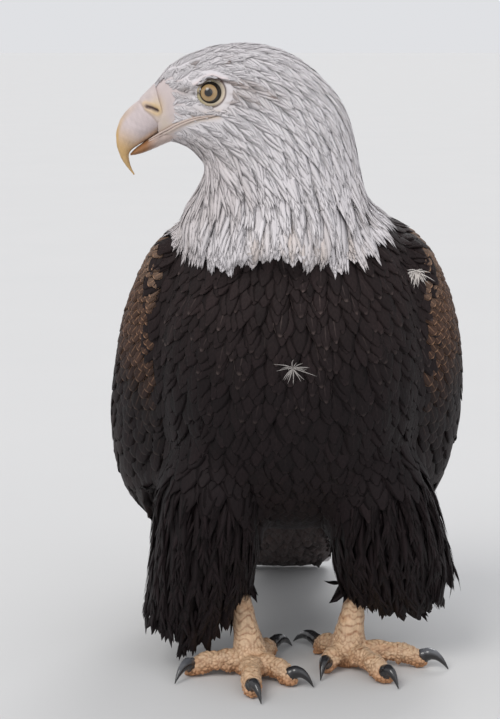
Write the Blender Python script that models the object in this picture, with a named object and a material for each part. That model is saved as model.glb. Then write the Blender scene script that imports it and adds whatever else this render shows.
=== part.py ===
"""Bald eagle, standing with folded wings and its head turned to its right.

Metres, +Z up. The bird faces -Y, so its own right side is at -X. Shapes are laid out from a point
on the floor between the ankles, and the empty "stance" then moves the whole bird so that the
origin lies on the floor below the middle of its box.
"""

import math

import bmesh
import bpy
from mathutils import Matrix, Vector

# Whole bird
CLEARANCE = 0.0003          # gap kept where two solids meet
RINGS_PER_GAP = 2           # rings that a loft makes from each station to the next
TRUNK_SIDES, HEAD_SIDES, BILL_SIDES, TAIL_SIDES = 20, 18, 12, 14
THIGH_SIDES, SHANK_SIDES, TOE_SIDES, CLAW_SIDES = 16, 14, 9, 8
FEATHER_FULLNESS = 0.94     # below 1 a cross-section is squarer than an ellipse
BODY_X = 0.002              # middle plane of the trunk
STANCE_SHIFT = (0.0, -0.0965, 0.0)

# Trunk: (breast y, z), (back y, z), half breadth, from under the neck down to the tail root
TRUNK_STATIONS = (
    ((-0.066, 0.404), (0.018, 0.404), 0.048),
    ((-0.088, 0.374), (0.048, 0.382), 0.080),
    ((-0.099, 0.332), (0.078, 0.344), 0.104),
    ((-0.102, 0.285), (0.104, 0.299), 0.113),
    ((-0.096, 0.235), (0.127, 0.256), 0.114),
    ((-0.079, 0.186), (0.146, 0.216), 0.108),
    ((-0.046, 0.146), (0.162, 0.182), 0.092),
    ((0.005, 0.118), (0.174, 0.154), 0.070),
    ((0.062, 0.104), (0.184, 0.134), 0.048),
    ((0.112, 0.098), (0.188, 0.120), 0.031),
)
BREAST_FULLNESS = 0.84
BACK_FULLNESS = 1.0

# Head and neck, one bent form: (crown and nape x, z), (chin and throat x, z), half breadth, middle y
HEAD_STATIONS = (
    ((-0.1040, 0.4870), (-0.1010, 0.4440), 0.0150, -0.0560),
    ((-0.0925, 0.5010), (-0.0890, 0.4425), 0.0225, -0.0560),
    ((-0.0735, 0.5115), (-0.0775, 0.4375), 0.0300, -0.0555),
    ((-0.0500, 0.5175), (-0.0695, 0.4300), 0.0350, -0.0550),
    ((-0.0200, 0.5175), (-0.0655, 0.4240), 0.0380, -0.0545),
    ((0.0075, 0.5065), (-0.0660, 0.4185), 0.0400, -0.0530),
)
NECK_STATIONS = (
    ((0.0305, 0.4865), (-0.0690, 0.4115), 0.0435, -0.0505),
    ((0.0455, 0.4640), (-0.0725, 0.4040), 0.0475, -0.0475),
    ((0.0525, 0.4370), (-0.0785, 0.3955), 0.0525, -0.0440),
    ((0.0585, 0.4080), (-0.0840, 0.3855), 0.0595, -0.0400),
    ((0.0660, 0.3830), (-0.0870, 0.3720), 0.0700, -0.0365),
    ((0.0660, 0.3640), (-0.0830, 0.3570), 0.0755, -0.0350),
)
HACKLE_DROP = 0.012         # how far every second hackle point hangs past the neck's lower edge

# Bill: (ridge x, z), (cutting edge x, z), half breadth
UPPER_BILL_STATIONS = (
    ((-0.1036, 0.4873), (-0.0935, 0.4535), 0.0148),
    ((-0.1157, 0.4755), (-0.1025, 0.4487), 0.0140),
    ((-0.1240, 0.4685), (-0.1095, 0.4442), 0.0128),
    ((-0.1307, 0.4598), (-0.1158, 0.4405), 0.0108),
    ((-0.1338, 0.4498), (-0.1207, 0.4373), 0.0086),
    ((-0.1336, 0.4400), (-0.1237, 0.4335), 0.0064),
    ((-0.1306, 0.4308), (-0.1237, 0.4285), 0.0045),
    ((-0.1262, 0.4236), (-0.1223, 0.4236), 0.0028),
    ((-0.1206, 0.4170), (-0.1197, 0.4177), 0.0008),
)
LOWER_BILL_STATIONS = (
    ((-0.0905, 0.4560), (-0.0870, 0.4445), 0.0125),
    ((-0.1000, 0.4515), (-0.0965, 0.4408), 0.0115),
    ((-0.1080, 0.4460), (-0.1050, 0.4372), 0.0098),
    ((-0.1150, 0.4410), (-0.1125, 0.4342), 0.0075),
    ((-0.1200, 0.4370), (-0.1188, 0.4325), 0.0052),
    ((-0.1233, 0.4338), (-0.1230, 0.4320), 0.0020),
)
BILL_MIDDLE_Y = -0.0560

# Eyes, in shallow orbits under the brow
EYE_RADIUS = 0.0105
EYE_X, EYE_Z = -0.0605, 0.4800
EYE_HALF_SPACING = 0.0226   # from the head's middle plane to the eyeball's centre
ORBIT_RADIUS = 0.0280
ORBIT_DEPTH = 0.0036        # how far the eyeball stands out of the orbit's floor
EYE_GRID, ORBIT_GRID = (8, 14), (22, 32)    # rings and segments of the balls

# Folded wing: upper edge, outer face and lower edge (x from the middle plane, y, z), half thickness
WING_STATIONS = (
    ((0.088, -0.022, 0.372), (0.105, -0.048, 0.357), (0.096, -0.048, 0.334), 0.010),
    ((0.078, 0.006, 0.384), (0.121, -0.028, 0.338), (0.103, -0.047, 0.285), 0.020),
    ((0.056, 0.032, 0.378), (0.136, 0.002, 0.302), (0.105, -0.038, 0.235), 0.024),
    ((0.032, 0.060, 0.353), (0.144, 0.036, 0.258), (0.106, -0.012, 0.188), 0.024),
    ((0.014, 0.092, 0.315), (0.145, 0.072, 0.212), (0.111, 0.014, 0.148), 0.021),
    ((0.007, 0.126, 0.268), (0.137, 0.112, 0.167), (0.111, 0.054, 0.116), 0.016),
    ((0.006, 0.165, 0.220), (0.114, 0.154, 0.130), (0.099, 0.104, 0.091), 0.012),
    ((0.008, 0.203, 0.170), (0.078, 0.198, 0.097), (0.075, 0.162, 0.070), 0.008),
    ((0.011, 0.236, 0.116), (0.046, 0.238, 0.066), (0.050, 0.216, 0.050), 0.005),
    ((0.018, 0.262, 0.062), (0.026, 0.266, 0.048), (0.032, 0.262, 0.039), 0.002),
)
WING_TUCK = {"left": 0.085, "right": 0.0}   # share of its breadth by which the rear of a wing is drawn in
WING_TUCK_SPAN = (0.2, 0.6)                 # where along the wing the tuck begins and is complete
WING_STEPS = 6                              # steps across the wing from its upper to its lower edge

# Tail: middle y, z, half breadth, half thickness; its tip lies on the floor
TAIL_STATIONS = (
    (0.140, 0.128, 0.026, 0.015),
    (0.178, 0.100, 0.036, 0.013),
    (0.216, 0.066, 0.043, 0.010),
    (0.250, 0.036, 0.048, 0.007),
    (0.276, 0.014, 0.049, 0.0045),
    (0.292, 0.0036, 0.042, 0.0038),
    (0.302, 0.0020, 0.022, 0.0020),
)
TAIL_FULLNESS = 0.8

# Feathered thighs: middle x, y, z, half breadth, half depth, down to the ragged ends
THIGH_STATIONS = {
    "right": (
        (-0.056, -0.014, 0.205, 0.034, 0.048),
        (-0.062, -0.018, 0.160, 0.046, 0.058),
        (-0.067, -0.013, 0.108, 0.046, 0.054),
        (-0.073, -0.008, 0.072, 0.044, 0.046),
        (-0.081, -0.003, 0.042, 0.040, 0.036),
        (-0.086, 0.004, 0.018, 0.026, 0.022),
    ),
    "left": (
        (0.062, -0.008, 0.205, 0.035, 0.048),
        (0.072, -0.008, 0.160, 0.048, 0.058),
        (0.084, 0.000, 0.112, 0.050, 0.055),
        (0.090, 0.007, 0.084, 0.051, 0.047),
        (0.095, 0.012, 0.062, 0.045, 0.038),
        (0.099, 0.018, 0.046, 0.030, 0.024),
    ),
}
THIGH_RAG = 0.007           # how far every second feather point hangs past the thigh's lower edge

# Bare shanks and feet
ANKLES = {"right": (-0.029, -0.020), "left": (0.051, 0.004)}
SHANK_TOPS = {"right": (-0.050, 0.004, 0.115), "left": (0.070, 0.022, 0.120)}
SHANK_RADIUS = 0.0102
BALL_HEIGHT = 0.0150
BALL_RADIUS = 0.0165
# Shank over the ball of the foot: share of the way from ball to top, radius
SHANK_PROFILE = (
    (0.16, BALL_RADIUS * 0.80),
    (0.30, SHANK_RADIUS * 1.08),
    (0.60, SHANK_RADIUS),
    (1.00, SHANK_RADIUS),
)
SOLE_SHARE, SOLE_SIDE_SHARE = 0.70, 0.98    # the ball's radius at the floor and just over it
TOE_RADIUS = 0.0098         # at the root; the end of the toe is narrower
TOE_END_RADIUS = 0.0084
TOE_ARCH = 0.0065           # how high a toe's knuckle lifts off the floor between ball and pad
TOE_START = 0.16            # share of the way from ankle to pad at which a toe starts inside the ball
TOE_SWELL = 0.08            # how much wider the pads are than the joints between them
TOE_PADS = 2
TOE_NOSE = ((0.55, 0.80), (0.85, 0.45))     # past the last pad: distance and radius, in pad radii
CLAW_RADIUS = 0.0053
CLAW_ARCH = 0.0110          # how high a claw's back rises over the line from toe to claw tip
CLAW_TIP_RADIUS = 0.0004
CLAW_TIP_Z = 0.0009
CLAW_TAPER = 1.4            # above 1 a claw stays thick for longer
CLAW_DEPTH = 1.15           # height of a claw's section over its breadth
CLAW_RISE = 0.15            # how far above the toe's axis a claw is rooted, in pad radii
DIGIT_STEPS = 6
FLOOR_CUT = 0.0006          # depth of the flat under each pad

# Toes: pad (x, y) and claw tip (x, y) on the floor; 1 points back, 2 is the inner, 4 the outer one
TOES = {
    "right": {
        1: ((-0.014, 0.020), (0.006, 0.047)),
        2: ((0.0010, -0.0500), (0.0212, -0.0560)),
        3: ((-0.0297, -0.0755), (-0.0216, -0.0945)),
        4: ((-0.0780, -0.0260), (-0.0920, -0.0480)),
    },
    "left": {
        1: ((0.0300, 0.0300), (0.0075, 0.0590)),
        2: ((0.0335, -0.0200), (0.0275, -0.0405)),
        3: ((0.0795, -0.0440), (0.0900, -0.0600)),
        4: ((0.1130, -0.0045), (0.1355, -0.0130)),
    },
}

# Colours (linear RGB) and roughness
PALETTE = {
    "white_feather": ((0.62, 0.57, 0.56), 0.80),
    "dark_feather": ((0.022, 0.014, 0.013), 0.75),
    "bill_horn": ((0.62, 0.42, 0.20), 0.35),
    "eye": ((0.40, 0.30, 0.14), 0.08),
    "scaly_skin": ((0.48, 0.33, 0.20), 0.60),
    "claw_horn": ((0.012, 0.011, 0.011), 0.25),
}


def clear_scene():
    for thing in list(bpy.data.objects):
        bpy.data.objects.remove(thing, do_unlink=True)


def material(name):
    found = bpy.data.materials.get(name)
    if found:
        return found
    colour, roughness = PALETTE[name]
    made = bpy.data.materials.new(name)
    made.use_nodes = True
    shader = made.node_tree.nodes["Principled BSDF"]
    shader.inputs["Base Color"].default_value = (*colour, 1.0)
    shader.inputs["Roughness"].default_value = roughness
    shader.inputs["Metallic"].default_value = 0.0
    made.diffuse_color = (*colour, 1.0)
    return made


def smooth_blend(values, place):
    """The tuple at this place along a list of tuples, on a curve through all of them."""
    last = len(values) - 1
    left = min(int(place), last - 1)
    t = place - left
    p1, p2 = values[left], values[left + 1]
    p0 = values[left - 1] if left else [2 * a - b for a, b in zip(p1, p2)]
    p3 = values[left + 2] if left + 2 <= last else [2 * b - a for a, b in zip(p1, p2)]
    return [
        b + 0.5 * t * (c - a + t * (2 * a - 5 * b + 4 * c - d + t * (3 * (b - c) + d - a)))
        for a, b, c, d in zip(p0, p1, p2, p3)
    ]


def spread(stations, per_gap=RINGS_PER_GAP):
    """Flat tuples, with per_gap steps from each station to the next."""
    steps = (len(stations) - 1) * per_gap
    return [smooth_blend(stations, step / per_gap) for step in range(steps + 1)]


def signed_power(value, power):
    return math.copysign(abs(value) ** power, value)


def oval(middle, first, second, sides, fullness=1.0, far_fullness=None):
    """Ring of points round the middle, with these two half axes; the far side is where first is negative."""
    ring = []
    for side in range(sides):
        angle = 2 * math.pi * side / sides
        power = fullness if far_fullness is None or math.cos(angle) > 0 else far_fullness
        along = signed_power(math.cos(angle), power)
        across = signed_power(math.sin(angle), power)
        ring.append(middle + first * along + second * across)
    return ring


def loft(name, rings, parts, skin):
    """Closed solid through rings of equal count, with a flat cap at each end."""
    shape = bmesh.new()
    loops = [[shape.verts.new(point) for point in ring] for ring in rings]
    count = len(rings[0])
    for here, there in zip(loops, loops[1:]):
        for side in range(count):
            after = (side + 1) % count
            shape.faces.new((here[side], here[after], there[after], there[side]))
    shape.faces.new(loops[0])
    shape.faces.new(list(reversed(loops[-1])))
    bmesh.ops.triangulate(shape, faces=list(shape.faces))
    bmesh.ops.recalc_face_normals(shape, faces=list(shape.faces))
    mesh = bpy.data.meshes.new(name)
    shape.to_mesh(mesh)
    shape.free()
    made = bpy.data.objects.new(name, mesh)
    made.data.materials.append(material(skin))
    parts.objects.link(made)
    return made


def largest_body(mesh):
    """Removes the crumbs that a cut leaves beside the main body."""
    shape = bmesh.new()
    shape.from_mesh(mesh)
    unseen = set(shape.verts)
    bodies = []
    while unseen:
        reached = [unseen.pop()]
        for vert in reached:
            for edge in vert.link_edges:
                other = edge.other_vert(vert)
                if other in unseen:
                    unseen.remove(other)
                    reached.append(other)
        bodies.append(reached)
    bodies.sort(key=len)
    for crumbs in bodies[:-1]:
        bmesh.ops.delete(shape, geom=crumbs, context="VERTS")
    shape.to_mesh(mesh)
    shape.free()


def grown(piece):
    """Copy of a piece, larger all round by the clearance."""
    cutter = bpy.data.objects.new(piece.name + "_cutter", piece.data.copy())
    shape = bmesh.new()
    shape.from_mesh(cutter.data)
    shape.normal_update()
    moves = [(vert, vert.normal * CLEARANCE) for vert in shape.verts]
    for vert, move in moves:
        vert.co += move
    shape.to_mesh(cutter.data)
    shape.free()
    return cutter


def cut(piece, cutter, cutters):
    """Takes the cutter away from the piece for good."""
    cutters.objects.link(cutter)
    boolean = piece.modifiers.new("cut", "BOOLEAN")
    boolean.operation = "DIFFERENCE"
    boolean.object = cutter
    bpy.context.view_layer.update()
    graph = bpy.context.evaluated_depsgraph_get()
    mesh = bpy.data.meshes.new_from_object(piece.evaluated_get(graph))
    piece.modifiers.remove(boolean)
    piece.data = mesh
    mesh.name = piece.name
    bpy.data.objects.remove(cutter, do_unlink=True)
    largest_body(mesh)


def fit_between(piece, neighbours, cutters):
    for neighbour in neighbours:
        cut(piece, grown(neighbour), cutters)


def keep_side(piece, point, away):
    """Keeps what lies behind the plane through the point, and closes the cut."""
    shape = bmesh.new()
    shape.from_mesh(piece.data)
    everything = list(shape.verts) + list(shape.edges) + list(shape.faces)
    made = bmesh.ops.bisect_plane(
        shape, geom=everything, plane_co=point, plane_no=away, clear_outer=True
    )
    rim = [item for item in made["geom_cut"] if isinstance(item, bmesh.types.BMEdge)]
    bmesh.ops.holes_fill(shape, edges=rim)
    bmesh.ops.triangulate(shape, faces=list(shape.faces))
    shape.to_mesh(piece.data)
    shape.free()


def ragged(rings, direction, drop):
    """Lets every second point of the last ring hang further, like the tips of long feathers."""
    for side in range(0, len(rings[-1]), 2):
        rings[-1][side] = rings[-1][side] + direction * drop


def make_trunk(parts):
    flat = [(*breast, *back, half) for breast, back, half in TRUNK_STATIONS]
    rings = []
    for breast_y, breast_z, back_y, back_z, half in spread(flat):
        breast = Vector((BODY_X, breast_y, breast_z))
        back = Vector((BODY_X, back_y, back_z))
        middle, depth, breadth = (breast + back) / 2, (breast - back) / 2, Vector((half, 0, 0))
        rings.append(oval(middle, depth, breadth, TRUNK_SIDES, BREAST_FULLNESS, BACK_FULLNESS))
    return loft("trunk", rings, parts, "dark_feather")


def profile_rings(stations, sides, fullness=1.0):
    """Rings of a form whose outline is drawn in the head's plane: outer, inner, half breadth, y."""
    flat = [(*outer, *inner, half, y) for outer, inner, half, y in stations]
    rings = []
    for outer_x, outer_z, inner_x, inner_z, half, y in spread(flat):
        outer = Vector((outer_x, y, outer_z))
        inner = Vector((inner_x, y, inner_z))
        rings.append(
            oval((outer + inner) / 2, (outer - inner) / 2, Vector((0, half, 0)), sides, fullness)
        )
    return rings


def middle_of(ring):
    return sum(ring, Vector()) / len(ring)


def make_head_and_neck(parts):
    stations = HEAD_STATIONS + NECK_STATIONS
    rings = profile_rings(stations, HEAD_SIDES, FEATHER_FULLNESS)
    ragged(rings, Vector((0, 0, -1)), HACKLE_DROP)
    split = (len(HEAD_STATIONS) - 1) * RINGS_PER_GAP
    head = loft("head", rings[: split + 1], parts, "white_feather")
    down = (middle_of(rings[split + 1]) - middle_of(rings[split])).normalized()
    neck_top = [point + down * CLEARANCE for point in rings[split]]
    neck = loft("neck", [neck_top] + rings[split + 1:], parts, "white_feather")
    return head, neck


def make_bill(parts):
    made = []
    for name, stations in (("bill_upper", UPPER_BILL_STATIONS), ("bill_lower", LOWER_BILL_STATIONS)):
        full = [(*station, BILL_MIDDLE_Y) for station in stations]
        made.append(loft(name, profile_rings(full, BILL_SIDES), parts, "bill_horn"))
    return made


def ball(name, middle, radius, grid, parts, skin):
    rings, segments = grid
    mesh = bpy.data.meshes.new(name)
    shape = bmesh.new()
    bmesh.ops.create_uvsphere(shape, u_segments=segments, v_segments=rings, radius=radius)
    shape.transform(Matrix.Translation(middle))
    bmesh.ops.triangulate(shape, faces=list(shape.faces))
    shape.to_mesh(mesh)
    shape.free()
    made = bpy.data.objects.new(name, mesh)
    made.data.materials.append(material(skin))
    parts.objects.link(made)
    return made


def make_eyes(parts, head, cutters):
    """Eyeballs, each in a shallow dish that keeps it under the brow."""
    for name, side in (("eye_right", 1), ("eye_left", -1)):
        middle = Vector((EYE_X, BILL_MIDDLE_Y + side * EYE_HALF_SPACING, EYE_Z))
        eye = ball(name, middle, EYE_RADIUS, EYE_GRID, parts, "eye")
        out = EYE_HALF_SPACING + EYE_RADIUS + ORBIT_RADIUS - ORBIT_DEPTH
        dish_middle = Vector((EYE_X, BILL_MIDDLE_Y + side * out, EYE_Z))
        dish = ball(name + "_orbit", dish_middle, ORBIT_RADIUS, ORBIT_GRID, cutters, "white_feather")
        cutters.objects.unlink(dish)
        cut(head, dish, cutters)
        cut(head, grown(eye), cutters)


def wing_rings(side, tuck):
    """Lens-shaped sections across the folded wing, from the wrist to the tip."""
    flat = [(*upper, *outer, *lower, thick) for upper, outer, lower, thick in WING_STATIONS]
    rings = []
    sections = spread(flat)
    tuck_from, tuck_to = WING_TUCK_SPAN
    for index, values in enumerate(sections):
        t = min(max((index / len(sections) - tuck_from) / (tuck_to - tuck_from), 0), 1)
        breadth = 1 - tuck * t * t * (3 - 2 * t)
        upper, outer, lower = (Vector(values[i:i + 3]) for i in (0, 3, 6))
        thick = values[9]
        pull = 2 * outer - (upper + lower) / 2
        inward = (upper + lower) / 2 - outer
        inward = inward.normalized() if inward.length > 1e-6 else Vector((-1, 0, 0))
        outside, inside = [], []
        for step in range(WING_STEPS + 1):
            t = step / WING_STEPS
            point = upper * (1 - t) ** 2 + pull * (2 * t * (1 - t)) + lower * t ** 2
            depth = 2 * thick * math.sqrt(math.sin(math.pi * t)) if 0 < step < WING_STEPS else 0
            outside.append(point)
            inside.append(point + inward * depth)
        ring = outside + inside[-2:0:-1]
        rings.append([Vector((BODY_X + side * breadth * p.x, p.y, p.z)) for p in ring])
    return rings


def make_wings(parts, trunk, cutters):
    made = []
    for side_name, side in (("left", 1), ("right", -1)):
        rings = wing_rings(side, WING_TUCK[side_name])
        wing = loft("wing_" + side_name, rings, parts, "dark_feather")
        fit_between(wing, (trunk,), cutters)
        made.append(wing)
    return made


def make_tail(parts, neighbours, cutters):
    rings = []
    flat = spread(TAIL_STATIONS, 1)
    for index, (y, z, half, thick) in enumerate(flat):
        before, after = flat[max(index - 1, 0)], flat[min(index + 1, len(flat) - 1)]
        run = Vector((0, after[0] - before[0], after[1] - before[1])).normalized()
        up = Vector((0, -run.z, run.y))
        middle, breadth = Vector((BODY_X, y, z)), Vector((half, 0, 0))
        rings.append(oval(middle, up * thick, breadth, TAIL_SIDES, TAIL_FULLNESS))
    tail = loft("tail", rings, parts, "white_feather")
    keep_side(tail, Vector((0, 0, 0)), Vector((0, 0, -1)))
    fit_between(tail, neighbours, cutters)
    return tail


def make_thigh(side_name, parts, neighbours, cutters):
    rings = []
    for x, y, z, half, depth in spread(THIGH_STATIONS[side_name]):
        breadth, length = Vector((half, 0, 0)), Vector((0, depth, 0))
        rings.append(oval(Vector((x, y, z)), breadth, length, THIGH_SIDES, FEATHER_FULLNESS))
    ragged(rings, Vector((0, 0, -1)), THIGH_RAG)
    thigh = loft("thigh_" + side_name, rings, parts, "dark_feather")
    fit_between(thigh, neighbours, cutters)
    return thigh


def tube(name, stations, sides, parts, skin, height=1.0):
    """Tapered tube: each station is a point and a radius; height stretches the section upwards."""
    rings = []
    for index, (point, radius) in enumerate(stations):
        before = stations[max(index - 1, 0)][0]
        after = stations[min(index + 1, len(stations) - 1)][0]
        run = (after - before).normalized()
        level = run.cross(Vector((0, 0, 1)))
        level = level.normalized() if level.length > 0.05 else Vector((1, 0, 0))
        rise = level.cross(run).normalized()
        rings.append(oval(point, rise * radius * height, level * radius, sides))
    return loft(name, rings, parts, skin)


def make_shank(side_name, parts):
    x, y = ANKLES[side_name]
    top = Vector(SHANK_TOPS[side_name])
    foot = Vector((x, y, BALL_HEIGHT))
    stations = [
        (Vector((x, y, -FLOOR_CUT)), BALL_RADIUS * SOLE_SHARE),
        (Vector((x, y, BALL_HEIGHT * 0.4)), BALL_RADIUS * SOLE_SIDE_SHARE),
        (foot, BALL_RADIUS),
    ]
    stations += [(foot.lerp(top, share), radius) for share, radius in SHANK_PROFILE]
    rings = []
    for point, radius in stations:
        rings.append(oval(point, Vector((radius, 0, 0)), Vector((0, radius, 0)), SHANK_SIDES))
    shank = loft("shank_" + side_name, rings, parts, "scaly_skin")
    keep_side(shank, Vector((0, 0, 0)), Vector((0, 0, -1)))
    return shank


def toe_path(side_name, number):
    """Toe axis from inside the ball to the last joint, as points with radii."""
    x, y = ANKLES[side_name]
    pad = Vector((*TOES[side_name][number][0], 0))
    root = Vector((x, y, 0)).lerp(pad, TOE_START)
    stations = []
    for step in range(DIGIT_STEPS + 1):
        t = step / DIGIT_STEPS
        radius = TOE_RADIUS + (TOE_END_RADIUS - TOE_RADIUS) * t
        swell = 1 - TOE_SWELL * math.cos(2 * math.pi * t * TOE_PADS)
        lift = TOE_ARCH * math.sin(math.pi * t) * (1 - 0.35 * t)
        radius *= swell
        point = root.lerp(pad, t)
        point.z = radius - FLOOR_CUT + lift
        stations.append((point, radius))
    return stations


def make_toe(side_name, number, parts, neighbours, cutters):
    stations = toe_path(side_name, number)
    end, radius = stations[-1]
    run = (end - stations[-2][0]).normalized()
    stations += [(end + run * radius * out, radius * share) for out, share in TOE_NOSE]
    name = f"toe_{side_name}_{number}"
    toe = tube(name, stations, TOE_SIDES, parts, "scaly_skin")
    keep_side(toe, Vector((0, 0, 0)), Vector((0, 0, -1)))
    fit_between(toe, neighbours, cutters)
    return toe


def make_claw(side_name, number, parts, toe, cutters):
    """Curved horn from the toe's end, over and down to its point on the floor."""
    end, radius = toe_path(side_name, number)[-1]
    tip = Vector((*TOES[side_name][number][1], CLAW_TIP_Z))
    start = end + Vector((0, 0, radius * CLAW_RISE))
    crest = start.lerp(tip, 0.50)
    crest.z = start.z + CLAW_ARCH
    stations = []
    for step in range(DIGIT_STEPS + 1):
        t = step / DIGIT_STEPS
        point = start * (1 - t) ** 2 + crest * (2 * t * (1 - t)) + tip * t ** 2
        stations.append((point, CLAW_RADIUS * (1 - t ** CLAW_TAPER) + CLAW_TIP_RADIUS))
    name = f"claw_{side_name}_{number}"
    claw = tube(name, stations, CLAW_SIDES, parts, "claw_horn", CLAW_DEPTH)
    keep_side(claw, Vector((0, 0, 0)), Vector((0, 0, -1)))
    fit_between(claw, (toe,), cutters)
    return claw


def make_leg(side_name, parts, body, cutters):
    thigh = make_thigh(side_name, parts, body, cutters)
    shank = make_shank(side_name, parts)
    toes = []
    for number in (3, 1, 2, 4):
        toes.append(make_toe(side_name, number, parts, [shank] + toes, cutters))
        make_claw(side_name, number, parts, toes[-1], cutters)
    fit_between(thigh, [shank] + toes, cutters)


def set_in_stance(parts):
    """Parents every piece to one empty, which moves the bird's box over the origin."""
    stance = bpy.data.objects.new("stance", None)
    stance.location = STANCE_SHIFT
    parts.objects.link(stance)
    for piece in parts.objects:
        if piece is not stance:
            piece.parent = stance


def main():
    clear_scene()
    parts = bpy.data.collections.new("bald_eagle")
    cutters = bpy.data.collections.new("cutters")
    for group in (parts, cutters):
        bpy.context.scene.collection.children.link(group)
    trunk = make_trunk(parts)
    head, neck = make_head_and_neck(parts)
    upper, lower = make_bill(parts)
    make_eyes(parts, head, cutters)
    wings = make_wings(parts, trunk, cutters)
    fit_between(neck, [trunk] + wings, cutters)
    fit_between(upper, (head,), cutters)
    fit_between(lower, (upper, head), cutters)
    make_tail(parts, [trunk] + wings, cutters)
    for side_name in ("right", "left"):
        make_leg(side_name, parts, [trunk] + wings, cutters)
    set_in_stance(parts)
    for piece in parts.objects:
        if piece.type == "MESH":
            piece.data.shade_smooth()


main()
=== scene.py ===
"""Dresses the bald eagle: one skin, mesh feathers, eyes with lids, horn bill, scaly feet and claws."""
import math

import bmesh
import bpy
import numpy as np
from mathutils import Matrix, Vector
from mathutils.bvhtree import BVHTree
from mathutils.kdtree import KDTree


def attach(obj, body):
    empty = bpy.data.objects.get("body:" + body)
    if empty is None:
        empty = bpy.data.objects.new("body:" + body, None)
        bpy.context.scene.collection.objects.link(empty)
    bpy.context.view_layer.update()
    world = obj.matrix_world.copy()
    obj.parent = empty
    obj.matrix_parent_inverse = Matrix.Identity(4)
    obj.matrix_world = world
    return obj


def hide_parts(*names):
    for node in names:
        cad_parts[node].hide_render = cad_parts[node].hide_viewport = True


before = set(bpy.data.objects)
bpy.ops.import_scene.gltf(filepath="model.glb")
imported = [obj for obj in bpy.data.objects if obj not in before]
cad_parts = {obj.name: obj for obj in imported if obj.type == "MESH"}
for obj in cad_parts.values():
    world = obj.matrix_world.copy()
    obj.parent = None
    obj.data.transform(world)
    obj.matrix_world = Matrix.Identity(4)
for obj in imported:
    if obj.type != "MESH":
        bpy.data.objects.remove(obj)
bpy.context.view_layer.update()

# Places are laid out from a point on the floor between the ankles, as in the solids; this moves them.
STANCE = np.array((0.0, -0.0965, 0.0))
BODY_X = 0.002
HEAD_Y = -0.056
SEED = 1782

EYE_AT = np.array((-0.0605, 0.0, 0.4800))
EYE_OUT = 0.0226
EYE_RADIUS = 0.0105
LID_AT = (-0.0594, 0.4820)


def at(x, y, z):
    """A laid-out place in the row's frame."""
    return np.array((x, y, z), float) + STANCE


def unit(v):
    return v / np.maximum(np.linalg.norm(v, axis=-1, keepdims=True), 1e-12)


def ramp(value, low, high):
    """Smooth step from 0 at low to 1 at high, either way round."""
    t = np.clip((value - low) / (high - low), 0, 1)
    return t * t * (3 - 2 * t)


def wander(points, scale, seed=0):
    """Smooth random values from -1 to 1 that vary over about one scale, from sines."""
    rng = np.random.default_rng(seed)
    total = np.zeros(len(points))
    for octave in range(6):
        turn = rng.normal(size=3)
        turn *= (1.0 + 0.35 * octave) / (np.linalg.norm(turn) * scale)
        total += np.sin(points @ turn * 2.2 + rng.uniform(0, 6.28))
    return total / 3.2


# ---------------------------------------------------------------- meshes

def build_mesh(name, points, faces, smooth=True):
    """Mesh from an array of points and a list of index arrays, each of faces of one size."""
    mesh = bpy.data.meshes.new(name)
    mesh.vertices.add(len(points))
    mesh.vertices.foreach_set("co", np.ascontiguousarray(points, np.float32).ravel())
    faces = [np.asarray(group, np.int32) for group in faces if len(group)]
    corners = np.concatenate([group.ravel() for group in faces])
    totals = np.concatenate([np.full(len(group), group.shape[1], np.int32) for group in faces])
    mesh.loops.add(len(corners))
    mesh.loops.foreach_set("vertex_index", corners)
    mesh.polygons.add(len(totals))
    mesh.polygons.foreach_set("loop_start", np.concatenate(([0], np.cumsum(totals)[:-1])).astype(np.int32))
    mesh.update(calc_edges=True)
    mesh.validate()
    mesh.polygons.foreach_set("use_smooth", np.full(len(mesh.polygons), smooth))
    return mesh


def add_object(name, mesh, *materials):
    made = bpy.data.objects.new(name, mesh)
    bpy.context.scene.collection.objects.link(made)
    for each in materials:
        mesh.materials.append(each)
    return made


def read(items, attribute, width=1, kind=np.float32):
    """An attribute of a mesh's items as an array, in rows where width is over 1."""
    out = np.empty(len(items) * width, kind)
    items.foreach_get(attribute, out)
    return out.reshape(-1, width) if width > 1 else out


def points_of(mesh):
    return read(mesh.vertices, "co", 3).astype(float)


def set_points(mesh, points):
    mesh.vertices.foreach_set("co", np.ascontiguousarray(points, np.float32).ravel())
    mesh.update()


def normals_of(mesh):
    return read(mesh.vertex_normals, "vector", 3).astype(float)


def triangles_of(mesh):
    mesh.calc_loop_triangles()
    return read(mesh.loop_triangles, "vertices", 3, np.int32)


def surface_tree(points, tris):
    return BVHTree.FromPolygons(points.tolist(), tris.tolist())


def point_tree(points):
    tree = KDTree(len(points))
    for index, point in enumerate(points.tolist()):
        tree.insert(point, index)
    tree.balance()
    return tree


def paint(mesh, name, colours):
    """Stores one colour, RGB, for each vertex."""
    layer = mesh.color_attributes.new(name, "FLOAT_COLOR", "POINT")
    flat = np.ones((len(colours), 4), np.float32)
    flat[:, :3] = np.clip(colours, 0, 1)
    layer.data.foreach_set("color", flat.ravel())


def set_uv(mesh, name, per_corner):
    layer = mesh.uv_layers.new(name=name)
    layer.data.foreach_set("uv", np.ascontiguousarray(per_corner, np.float32).ravel())


def joined(meshes, name):
    """One mesh of several, given as (points, triangles) or as meshes."""
    points, faces, start = [], [], 0
    for mesh in meshes:
        here, tris = mesh if isinstance(mesh, tuple) else (points_of(mesh), triangles_of(mesh))
        points.append(here)
        faces.append(tris + start)
        start += len(here)
    return build_mesh(name, np.concatenate(points), [np.concatenate(faces)])


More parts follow.
